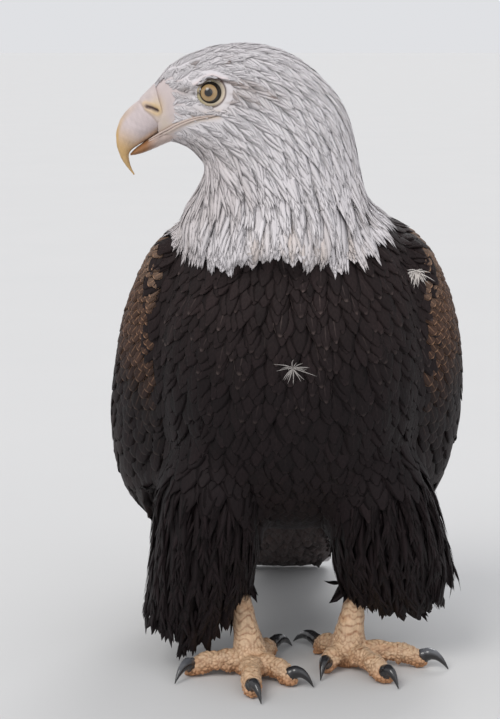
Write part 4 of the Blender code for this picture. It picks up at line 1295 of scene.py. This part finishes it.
def face_colours(points):
    """Bare skin of the face: grey-pink lores, cream gape, white under the feathers."""
    here = laid(points)
    # The markings a little darker, as painted shade under the feathers.
    colour = markings(points, np.full(len(points), HEAD)) * 0.95
    plane = here[:, [0, 2]]
    flank = np.abs(here[:, 1] - HEAD_Y) > 0.006
    bare = ramp(here[:, 0], -0.076, -0.092) * ramp(plane[:, 1], 0.4960, 0.4880)
    colour = colour * (1 - bare[:, None]) + cere_colour(plane) * bare[:, None]
    gape, _, _ = along_line(plane, GAPE)
    cream = np.exp(-(gape / 0.0030) ** 2) * (plane[:, 0] < GAPE_END_X + 0.003) * flank
    colour = blended(colour, GAPE_CREAM, cream)
    # Painted shade: a dark line along the crease of the mouth.
    crease_shade = 0.85 * np.exp(-(gape / 0.0008) ** 2) * (plane[:, 0] < GAPE_END_X) * flank
    return blended(colour, GAPE_CREASE_SHADE, crease_shade)


def unwrapped(mesh, corner, size):
    """Gives a mesh an unwrap of its own shape in one square of the map."""
    thing = add_object("unwrap_work", mesh)
    if "OFBake" not in mesh.uv_layers:
        mesh.uv_layers.new(name="OFBake")
    bpy.ops.object.select_all(action="DESELECT")
    thing.select_set(True)
    bpy.context.view_layer.objects.active = thing
    bpy.ops.object.mode_set(mode="EDIT")
    bpy.ops.mesh.select_all(action="SELECT")
    bpy.ops.uv.smart_project(angle_limit=math.radians(60), island_margin=0.004)
    bpy.ops.object.mode_set(mode="OBJECT")
    layer = mesh.uv_layers["OFBake"]
    flat = read(layer.data, "uv", 2) * np.array(size) + np.array(corner)
    layer.data.foreach_set("uv", flat.astype(np.float32).ravel())
    return thing


BODY_SKIN, DEEP_SKIN, DEEP_ABOVE = 0.0052, 0.0075, 0.43     # deeper where the head has a skin of its own
HEAD_SKIN, FACE_SKIN, NECK_SINK, LID_SINK = 0.0010, 0.0007, 0.0022, 0.0030


def dress_skin(body, head, plain):
    """One skin: body, head with lids and lips, and feet, each a little inside the next part's edge."""
    here = laid(points_of(body))
    shrink(body, np.where(here[:, 2] > DEEP_ABOVE, DEEP_SKIN, BODY_SKIN))
    cropped(body, at(0, TAIL_SKIN_END, 0), (0, 1, 0))
    points = points_of(body)
    solid = solid_of(points)
    here = laid(points)
    for side, number in ((1, THIGH_LEFT), (-1, THIGH_RIGHT)):
        thigh = (solid == number) & (here[:, 2] < 0.13)
        points[thigh, 2] = np.maximum(points[thigh, 2], hem_z(here[thigh, 0], side) + 0.012)
    set_points(body, points)
    # Painted shade: the skin under the feathers is a tenth darker than their markings.
    body_colours = markings(points, solid) * 0.9
    here = laid(points_of(head))
    face = ramp(turn(here), 62.0, 84.0)
    depth = HEAD_SKIN * (1 - face) + FACE_SKIN * face + NECK_SINK * ramp(here[:, 2], 0.45, 0.41) * (1 - face)
    away = np.hypot(here[:, 0] - LID_AT[0], here[:, 2] - LID_AT[1])
    depth = depth + LID_SINK * ramp(away, 0.0155, 0.0125) * (np.abs(here[:, 1] - HEAD_Y) > 0.008)
    face_paint = face_colours(points_of(head))
    shrink(head, depth)
    extras, extra_colours = [], []
    for side in (1, -1):
        for ring_points, tris, colours in [lid_ring(side, plain), *lips(side, plain)]:
            extras.append((ring_points, tris))
            extra_colours.append(colours)
    lids = joined(extras, "lids")
    foot, foot_colours = foot_skin()
    parts = ((body, body_colours, 0, (0.0, 0.0), (1.0, 0.40)),
             (head, face_paint, 1, (0.0, 0.40), (0.45, 0.40)),
             (lids, np.concatenate(extra_colours), 1, (0.0, 0.80), (0.45, 0.20)),
             (foot, foot_colours, 2, (0.45, 0.40), (0.55, 0.60)))
    things = []
    for mesh, colours, slot, corner, size in parts:
        thing = unwrapped(mesh, corner, size)
        for each in (under_feather, face_skin, foot_scale):
            mesh.materials.append(each)
        paint(mesh, "tint", colours)
        mesh.polygons.foreach_set("material_index", np.full(len(mesh.polygons), slot, np.int32))
        mesh.polygons.foreach_set("use_smooth", np.full(len(mesh.polygons), True))
        things.append(thing)
    bpy.ops.object.select_all(action="DESELECT")
    for thing in things:
        thing.select_set(True)
    bpy.context.view_layer.objects.active = things[0]
    bpy.ops.object.join()
    skin = things[0]
    skin.name = skin.data.name = "skin"
    print("skin", sum(len(p.vertices) - 2 for p in skin.data.polygons), "triangles")
    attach(skin, "root")
    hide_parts(*SOLIDS, *FOOT_PARTS)
    return skin


# ---------------------------------------------------------------- bill, eyes, claws

UPPER_BILL = (
    (-0.1036, 0.4873, -0.0935, 0.4535, 0.0180), (-0.1157, 0.4755, -0.1025, 0.4487, 0.0145),
    (-0.1240, 0.4685, -0.1095, 0.4442, 0.0128), (-0.1307, 0.4598, -0.1158, 0.4405, 0.0108),
    (-0.1338, 0.4498, -0.1207, 0.4373, 0.0086), (-0.1336, 0.4400, -0.1237, 0.4335, 0.0064),
    (-0.1306, 0.4308, -0.1237, 0.4285, 0.0045), (-0.1262, 0.4236, -0.1223, 0.4236, 0.0028),
    (-0.1206, 0.4170, -0.1197, 0.4177, 0.0008),
)
LOWER_BILL = (
    (-0.0905, 0.4560, -0.0870, 0.4445, 0.0125), (-0.1000, 0.4515, -0.0965, 0.4408, 0.0115),
    (-0.1080, 0.4460, -0.1050, 0.4372, 0.0098), (-0.1150, 0.4410, -0.1125, 0.4342, 0.0075),
    (-0.1200, 0.4370, -0.1188, 0.4325, 0.0052), (-0.1233, 0.4338, -0.1230, 0.4320, 0.0020),
)
CERE_EDGE = ((-0.1180, 0.4790), (-0.1145, 0.4734), (-0.1106, 0.4675), (-0.1050, 0.4629), (-0.0994, 0.4560))
HORN, OCHRE = np.array((0.555, 0.475, 0.475)), (0.53, 0.33, 0.115)
LOWER_HORN, LOWER_TIP_SHADE, BILL_EDGE = np.array((0.50, 0.40, 0.36)), (0.27, 0.125, 0.050), (0.60, 0.40, 0.20)
NOSTRIL_GOLD, NOSTRIL_SHADE, CERE_SEAM = (0.66, 0.43, 0.14), (0.045, 0.014, 0.010), (0.34, 0.24, 0.16)
PUPIL, IRIS_EDGE, IRIS_END = 16.5, 35.0, 38.5       # degrees from the line of sight
IRIS_PALE, IRIS_AMBER, EYE_BLACK = np.array((0.37, 0.245, 0.115)), (0.21, 0.115, 0.045), (0.006, 0.005, 0.005)
CLAW_BLACK, CLAW_SHEEN, CLAW_ROOT = np.array((0.012, 0.011, 0.012)), (0.26, 0.27, 0.30), (0.16, 0.11, 0.08)
NOSTRIL = ((-0.1098, 0.4704), (-0.1058, 0.4694), (-0.1012, 0.4672))


def bill_piece(name, stations, rings, sides, node):
    """Horn of one half of the bill: smooth loft with cere, nostrils and cutting edge."""
    flat = spline(stations, rings)
    outer = np.stack([flat[:, 0], np.full(rings, HEAD_Y), flat[:, 1]], axis=1)
    inner = np.stack([flat[:, 2], np.full(rings, HEAD_Y), flat[:, 3]], axis=1)
    angle = np.linspace(0, 2 * np.pi, sides, endpoint=False)
    along, across = np.cos(angle), np.sin(angle)
    middle, half = (outer + inner) / 2, (outer - inner) / 2
    points = (middle[:, None] + half[:, None] * along[None, :, None]).reshape(-1, 3)
    points[:, 1] += (flat[:, 4][:, None] * across[None]).ravel()
    fans = end_fans(rings, sides, len(points), len(points) + 1)
    points = np.vstack([points, middle[0], middle[-1]]) + STANCE
    mesh = turned_out(build_mesh(name, points, [grid_faces(rings, sides), fans]))
    points, normals = points_of(mesh), normals_of(mesh)
    here = laid(points)
    plane = here[:, [0, 2]]
    count = len(points)
    flank = ramp(np.abs(here[:, 1] - HEAD_Y), 0.003, 0.007)
    growth = 0.00010 * wander(here * (2.2, 0.4, 1.2), 0.004, 21)
    out = growth - 0.0002
    colour = np.tile(HORN, (count, 1))
    round_bill = np.concatenate([np.tile(along, rings), (0, 0)])
    top = ramp(round_bill, 0.55, 0.95)
    if name == "bill_upper_horn":
        cere_away, _, _ = along_line(plane, CERE_EDGE)
        line_x = np.interp(plane[:, 1], [p[1] for p in CERE_EDGE][::-1], [p[0] for p in CERE_EDGE][::-1])
        behind = ramp(plane[:, 0], line_x - 0.0004, line_x + 0.0008)
        slit, _, _ = along_line(plane, NOSTRIL)
        hole = np.exp(-(slit / 0.00125) ** 2) * flank
        rim = np.exp(-((slit - 0.0024) / 0.0009) ** 2) * flank * behind
        groove = np.exp(-(cere_away / 0.0007) ** 2)
        out += 0.00055 * behind - 0.0003 * groove - 0.0028 * hole + 0.00035 * rim
        hook = ramp(plane[:, 1] + 0.55 * (plane[:, 0] + 0.125), 0.4590, 0.4330)
        amber = 0.60 * top * ramp(plane[:, 1], 0.478, 0.455) * (1 - behind) + 0.90 * hook
        colour = blended(colour, OCHRE, np.clip(amber, 0, 1))
        colour = blended(colour, cere_colour(plane), behind)
        gold = np.exp(-((slit - 0.0026) / 0.0016) ** 2) * flank * behind * 0.45
        colour = blended(colour, NOSTRIL_GOLD, gold)
        # Painted shade: the nostril's slit is near black inside.
        colour = blended(colour, NOSTRIL_SHADE, 0.97 * np.exp(-(slit / 0.00135) ** 4) * flank)
        colour = blended(colour, CERE_SEAM, 0.45 * groove * flank)
        edge = ramp(round_bill, -0.62, -0.92)
        colour = blended(colour, BILL_EDGE, 0.6 * edge * (1 - hook))
    else:
        # Painted shade: the lower bill turns dark brown towards its tip, under the hook.
        tip = ramp(plane[:, 0], -0.098, -0.112)
        colour = blended(np.tile(LOWER_HORN, (count, 1)), LOWER_TIP_SHADE, tip)
    blotch = wander(here, 0.007, 22)
    streak = wander(here * (3, 1, 3), 0.004, 23)
    colour = colour * (1 + 0.07 * blotch + 0.05 * streak)[:, None]
    set_points(mesh, points + normals * out[:, None])
    paint(mesh, "tint", colour)
    made = add_object(name, mesh, bill_horn)
    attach(made, "root")
    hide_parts(node)


def eyeball(side, name, node):
    """Eyeball whose rings run round its line of sight, so that iris and pupil are bands of them."""
    axis = gaze(side)
    up = unit(np.array((0.0, 0.0, 1.0)) - axis[2] * axis)
    across = np.cross(up, axis)
    polar = np.concatenate([np.linspace(0, 62, 40), np.linspace(66, 180, 22)])
    polar = np.radians(polar)
    angle = np.linspace(0, 2 * np.pi, 64, endpoint=False)
    bulge = 1 + 0.035 * ramp(np.degrees(polar), 46.0, 10.0)
    reach = EYE_RADIUS * bulge
    inner = polar[1:-1]
    spoke = np.cos(angle)[:, None] * up + np.sin(angle)[:, None] * across
    rings = (np.cos(inner) * reach[1:-1])[:, None, None] * axis + \
        (np.sin(inner) * reach[1:-1])[:, None, None] * spoke[None]
    points = np.vstack([rings.reshape(-1, 3), axis * reach[0], -axis * reach[-1]]) + eye_middle(side)
    rows, sides = len(inner), len(angle)
    fans = end_fans(rows, sides, rows * sides, rows * sides + 1)
    mesh = turned_out(build_mesh(name, points, [grid_faces(rows, sides), fans]))
    degrees = np.degrees(np.concatenate([np.repeat(inner, sides), (0, np.pi)]))
    azimuth = np.concatenate([np.tile(angle, rows), (0, 0)])
    streak = np.sin(azimuth * 23 + 1.7 * np.sin(azimuth * 7)) * 0.5 + np.sin(azimuth * 41 + 2) * 0.3
    mix = np.clip(ramp(degrees, PUPIL + 9, PUPIL + 1) * 0.65 + 0.13 * streak, 0, 1)
    colour = blended(IRIS_PALE, IRIS_AMBER, mix) * (1 + 0.10 * streak)[:, None]
    rim = np.maximum(ramp(degrees, IRIS_EDGE, IRIS_END), ramp(degrees, PUPIL + 0.8, PUPIL - 0.4))
    colour = blended(colour, EYE_BLACK, rim)
    paint(mesh, "tint", colour)
    made = add_object(name, mesh, eye_gloss)
    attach(made, "root")
    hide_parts(node)


CLAW_SIDES, CLAW_SQUASH, CLAW_END_RADIUS = 22, 1.12, 0.00035
CLAW_SHINE, CLAW_PLAIN = {("right", 4): 0.7, ("left", 4): 1.0}, 0.12      # strength of the sheen on top


def claws():
    """Eight hooked claws: thick at the root, flattened below, drawn out to a point."""
    steps = 30
    t = np.linspace(0, 1, steps)
    for side in TOES:
        for number in TOES[side]:
            line = claw_line(side, number, steps)
            radius = CLAW_RADIUS * (1 - t ** 1.5) * (1 - 0.04 * np.cos(t * 30) * (1 - t)) + CLAW_END_RADIUS
            points, tris = swept(line + STANCE, radius, CLAW_SIDES, squash=CLAW_SQUASH)
            points[:, 2] = np.maximum(points[:, 2], 0.0)
            name = f"horn_claw_{side}_{number}"
            mesh = build_mesh(name, points, [tris])
            share = np.concatenate([np.repeat(t, CLAW_SIDES), (0, 1)])
            grey = CLAW_SHINE.get((side, number), CLAW_PLAIN)
            # Painted highlight: the tops of the claws are lightened towards grey, most on the fourth toes'
            # claws.
            upper = ramp(normals_of(mesh)[:, 2], 0.1, 0.9)
            pale = grey * upper * ramp(share, 0.0, 0.25) * ramp(share, 1.0, 0.5) * 0.5
            colour = blended(CLAW_BLACK, CLAW_SHEEN, pale)
            colour = blended(colour, CLAW_ROOT, ramp(share, 0.16, 0.02) * 0.35)
            paint(mesh, "tint", colour)
            made = add_object(name, mesh, claw_horn)
            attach(made, "root")
            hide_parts(f"claw_{side}_{number}")


# ---------------------------------------------------------------- materials

def new_material(name, roughness, **inputs):
    made = bpy.data.materials.new(name)
    made.use_nodes = True
    tree = made.node_tree
    shader = tree.nodes["Principled BSDF"]
    shader.inputs["Roughness"].default_value = roughness
    for key, value in inputs.items():
        shader.inputs[key.replace("_", " ")].default_value = value
    return made, tree, shader


def node(tree, kind, **settings):
    made = tree.nodes.new("ShaderNode" + kind)
    for key, value in settings.items():
        setattr(made, key, value)
    return made


def maths(tree, operation, first, second=None, third=None):
    made = node(tree, "Math", operation=operation)
    for index, value in enumerate((first, second, third)):
        if value is None:
            continue
        if isinstance(value, (int, float)):
            made.inputs[index].default_value = value
        else:
            tree.links.new(value, made.inputs[index])
    return made.outputs[0]


def between(tree, value, low, high):
    made = node(tree, "MapRange", interpolation_type="SMOOTHSTEP")
    tree.links.new(value, made.inputs["Value"])
    made.inputs["From Min"].default_value = low
    made.inputs["From Max"].default_value = high
    return made.outputs["Result"]


def colour_attribute(tree, name):
    return node(tree, "VertexColor", layer_name=name).outputs["Color"]


def mixed(tree, kind, factor, first, second):
    made = node(tree, "Mix", data_type="RGBA", blend_type=kind)
    # Sockets 0, 6 and 7 are the factor and the two colours, and output 2 is the colour.
    for socket, value in ((0, factor), (6, first), (7, second)):
        if isinstance(value, (int, float)):
            made.inputs[socket].default_value = value
        else:
            tree.links.new(value, made.inputs[socket])
    return made.outputs[2]


def noise(tree, scale, detail=4.0, rough=0.55):
    made = node(tree, "TexNoise")
    tree.links.new(node(tree, "TexCoord").outputs["Object"], made.inputs["Vector"])
    made.inputs["Scale"].default_value = scale
    made.inputs["Detail"].default_value = detail
    made.inputs["Roughness"].default_value = rough
    return made.outputs["Fac"]


def feather_material(name, roughness, edge_from, shaft, barb, **inputs):
    """Vane with a shaft, slanting barbs and a paler edge, over the colours that its feather carries."""
    made, tree, shader = new_material(name, roughness, **inputs)
    split = node(tree, "SeparateXYZ")
    tree.links.new(node(tree, "UVMap", uv_map="Vane").outputs["UV"], split.inputs[0])
    across = maths(tree, "ABSOLUTE", maths(tree, "MULTIPLY_ADD", split.outputs["X"], 2.0, -1.0))
    share = split.outputs["Y"]
    edge = maths(tree, "MAXIMUM", between(tree, across, edge_from, 0.98), between(tree, share, 0.90, 0.99))
    grain = noise(tree, 900.0, 3.0)
    phase = maths(tree, "MULTIPLY_ADD", across, -9.0, maths(tree, "MULTIPLY", share, 46.0))
    phase = maths(tree, "ADD", phase, maths(tree, "MULTIPLY", grain, 5.0))
    barbs = maths(tree, "MULTIPLY_ADD", maths(tree, "SINE", phase), 0.5, 0.5)
    line = maths(tree, "SUBTRACT", 1.0, between(tree, across, 0.03, 0.12))
    line = maths(tree, "MULTIPLY", line, maths(tree, "SUBTRACT", 1.0, between(tree, share, 0.7, 0.95)))
    base = mixed(tree, "MIX", edge, colour_attribute(tree, "tint"), colour_attribute(tree, "trim"))
    base = mixed(tree, "MIX", maths(tree, "MULTIPLY", line, shaft), base, colour_attribute(tree, "trim"))
    dim = maths(tree, "MULTIPLY_ADD", barbs, barb, 1.0 - barb)
    cloud = maths(tree, "MULTIPLY_ADD", noise(tree, 140.0), 0.22, 0.89)
    scale = node(tree, "VectorMath", operation="SCALE")
    tree.links.new(base, scale.inputs[0])
    tree.links.new(maths(tree, "MULTIPLY", dim, cloud), scale.inputs["Scale"])
    tree.links.new(scale.outputs[0], shader.inputs["Base Color"])
    bump = node(tree, "Bump")
    bump.inputs["Strength"].default_value = 0.45
    bump.inputs["Distance"].default_value = 0.0004
    height = maths(tree, "ADD", maths(tree, "MULTIPLY", barbs, 0.5), maths(tree, "MULTIPLY", line, 0.9))
    tree.links.new(height, bump.inputs["Height"])
    tree.links.new(bump.outputs["Normal"], shader.inputs["Normal"])
    return made


def skin_material(name, roughness, scale, depth, contrast, cells=0.0, **inputs):
    """Painted skin with fine grain in colour, gloss and relief."""
    made, tree, shader = new_material(name, roughness, **inputs)
    fine = noise(tree, scale, 6.0, 0.6)
    broad = noise(tree, scale * 0.22, 3.0)
    tone = maths(tree, "MULTIPLY_ADD", maths(tree, "ADD", fine, broad), contrast, 1.0 - contrast)
    shade = node(tree, "VectorMath", operation="SCALE")
    tree.links.new(colour_attribute(tree, "tint"), shade.inputs[0])
    tree.links.new(tone, shade.inputs["Scale"])
    tree.links.new(shade.outputs[0], shader.inputs["Base Color"])
    gloss = maths(tree, "MULTIPLY_ADD", fine, 0.25, roughness - 0.12)
    tree.links.new(gloss, shader.inputs["Roughness"])
    height = fine
    if cells:
        pebbles = node(tree, "TexVoronoi")
        tree.links.new(node(tree, "TexCoord").outputs["Object"], pebbles.inputs["Vector"])
        pebbles.inputs["Scale"].default_value = cells
        height = maths(tree, "SUBTRACT", fine, maths(tree, "MULTIPLY", pebbles.outputs["Distance"], 1.2))
    bump = node(tree, "Bump")
    bump.inputs["Strength"].default_value = 0.6
    bump.inputs["Distance"].default_value = depth
    tree.links.new(height, bump.inputs["Height"])
    tree.links.new(bump.outputs["Normal"], shader.inputs["Normal"])
    return made


white_feather = feather_material("white_vane", 0.75, 0.62, 0.20, 0.07, Specular_IOR_Level=0.18,
                                 Sheen_Weight=0.08)
dark_feather = feather_material("dark_vane", 0.62, 0.86, 0.50, 0.20, Specular_IOR_Level=0.16)
under_feather = skin_material("under_feather", 0.9, 500.0, 0.0004, 0.12, Specular_IOR_Level=0.10)
face_skin = skin_material("face_skin", 0.50, 900.0, 0.0002, 0.12, Specular_IOR_Level=0.35)
foot_scale = skin_material("foot_scale", 0.46, 800.0, 0.0005, 0.22, cells=650.0, Specular_IOR_Level=0.42)
bill_horn = skin_material("bill_surface", 0.40, 420.0, 0.0002, 0.10, Specular_IOR_Level=0.40)
claw_horn = skin_material("claw_surface", 0.22, 350.0, 0.0001, 0.20, Specular_IOR_Level=0.55,
                          Coat_Weight=0.25, Coat_Roughness=0.12)
eye_gloss = skin_material("eye_surface", 0.16, 900.0, 0.00002, 0.10, Specular_IOR_Level=0.5,
                          Coat_Weight=0.45, Coat_Roughness=0.02)


# ---------------------------------------------------------------- stage

FLOOR_HALF, FLOOR_TONES = 60, ((0.600, 0.600, 0.600, 1), (0.625, 0.622, 0.620, 1))
SKY_COLOUR, SKY_STRENGTH = (0.93, 0.94, 0.97, 1), 0.80
LIGHTS = (                              # name, turns from straight down, width in degrees, strength, colour
    ("key", (38, -30, 0), 28, 1.25, (1.0, 0.98, 0.95)),
    ("fill", (52, 40, 0), 50, 0.35, (0.93, 0.96, 1.0)),
    ("back", (-48, 18, 0), 25, 0.70, (1.0, 1.0, 1.0)),
)
EYE_POINT, TILT = (-0.0305, -1.4772, 0.5225), 80.0      # the camera's place, and its turn from straight down
SENSOR, FOCAL_SHARE = 36.0, 1830.0 / 719.0              # focal length as a share of the picture's height


def make_stage():
    """Wide pale floor under even light from all round."""
    corners = FLOOR_HALF * np.array(((-1, -1, 0), (1, -1, 0), (1, 1, 0), (-1, 1, 0)), float)
    mesh = build_mesh("floor", corners, [np.array([[0, 1, 2, 3]])], smooth=False)
    made, tree, shader = new_material("floor_paper", 0.9, Specular_IOR_Level=0.1)
    tone = node(tree, "ValToRGB")
    for stop, colour in zip(tone.color_ramp.elements, FLOOR_TONES):
        stop.color = colour
    tree.links.new(noise(tree, 3.0), tone.inputs["Fac"])
    tree.links.new(tone.outputs["Color"], shader.inputs["Base Color"])
    floor = add_object("floor", mesh, made)
    world = bpy.data.worlds.new("studio")
    bpy.context.scene.world = world
    world.use_nodes = True
    world.node_tree.nodes["Background"].inputs["Color"].default_value = SKY_COLOUR
    world.node_tree.nodes["Background"].inputs["Strength"].default_value = SKY_STRENGTH


def add_light(name, angles, spread, strength, colour):
    """A far, wide lamp; angles turn it from shining straight down."""
    lamp = bpy.data.lights.new(name, "SUN")
    lamp.energy, lamp.color, lamp.angle = strength, colour, math.radians(spread)
    made = bpy.data.objects.new(name, lamp)
    made.rotation_euler = [math.radians(each) for each in angles]
    bpy.context.scene.collection.objects.link(made)


def add_camera():
    """A long lens before the bird, level across and looking down ten degrees."""
    lens = bpy.data.cameras.new("view")
    lens.sensor_fit, lens.sensor_height = "VERTICAL", SENSOR
    lens.lens = SENSOR * FOCAL_SHARE
    made = bpy.data.objects.new("view", lens)
    made.location = at(*EYE_POINT)
    made.rotation_euler = (math.radians(TILT), 0.0, 0.0)
    bpy.context.scene.collection.objects.link(made)
    bpy.context.scene.camera = made


# ---------------------------------------------------------------- the bird

make_stage()
for light in LIGHTS:
    add_light(*light)
add_camera()
bpy.context.scene.view_settings.view_transform = "Standard"

head_mesh, plain_head = head_form()
head_guide = Guide(head_mesh)
body_mesh = body_form()
body_guide = Guide(body_mesh)
head_coat(head_guide)
neck_coat(body_guide)
trunk_coat(body_guide)
for wing_side, wing_name in ((1, "left"), (-1, "right")):
    wing_coat(body_guide, wing_side, "coat_wing_" + wing_name)
    wing_quills(body_guide, wing_side, "quills_" + wing_name)
    thigh_coat(body_guide, wing_side, "coat_thigh_" + wing_name)
tail_coat(body_guide)
loose_down(body_guide)
dress_skin(body_mesh, head_mesh, plain_head)
bill_piece("bill_upper_horn", UPPER_BILL, 110, 72, "bill_upper")
bill_piece("bill_lower_horn", LOWER_BILL, 60, 48, "bill_lower")
eyeball(-1, "eyeball_left", "eye_left")
eyeball(1, "eyeball_right", "eye_right")
claws()
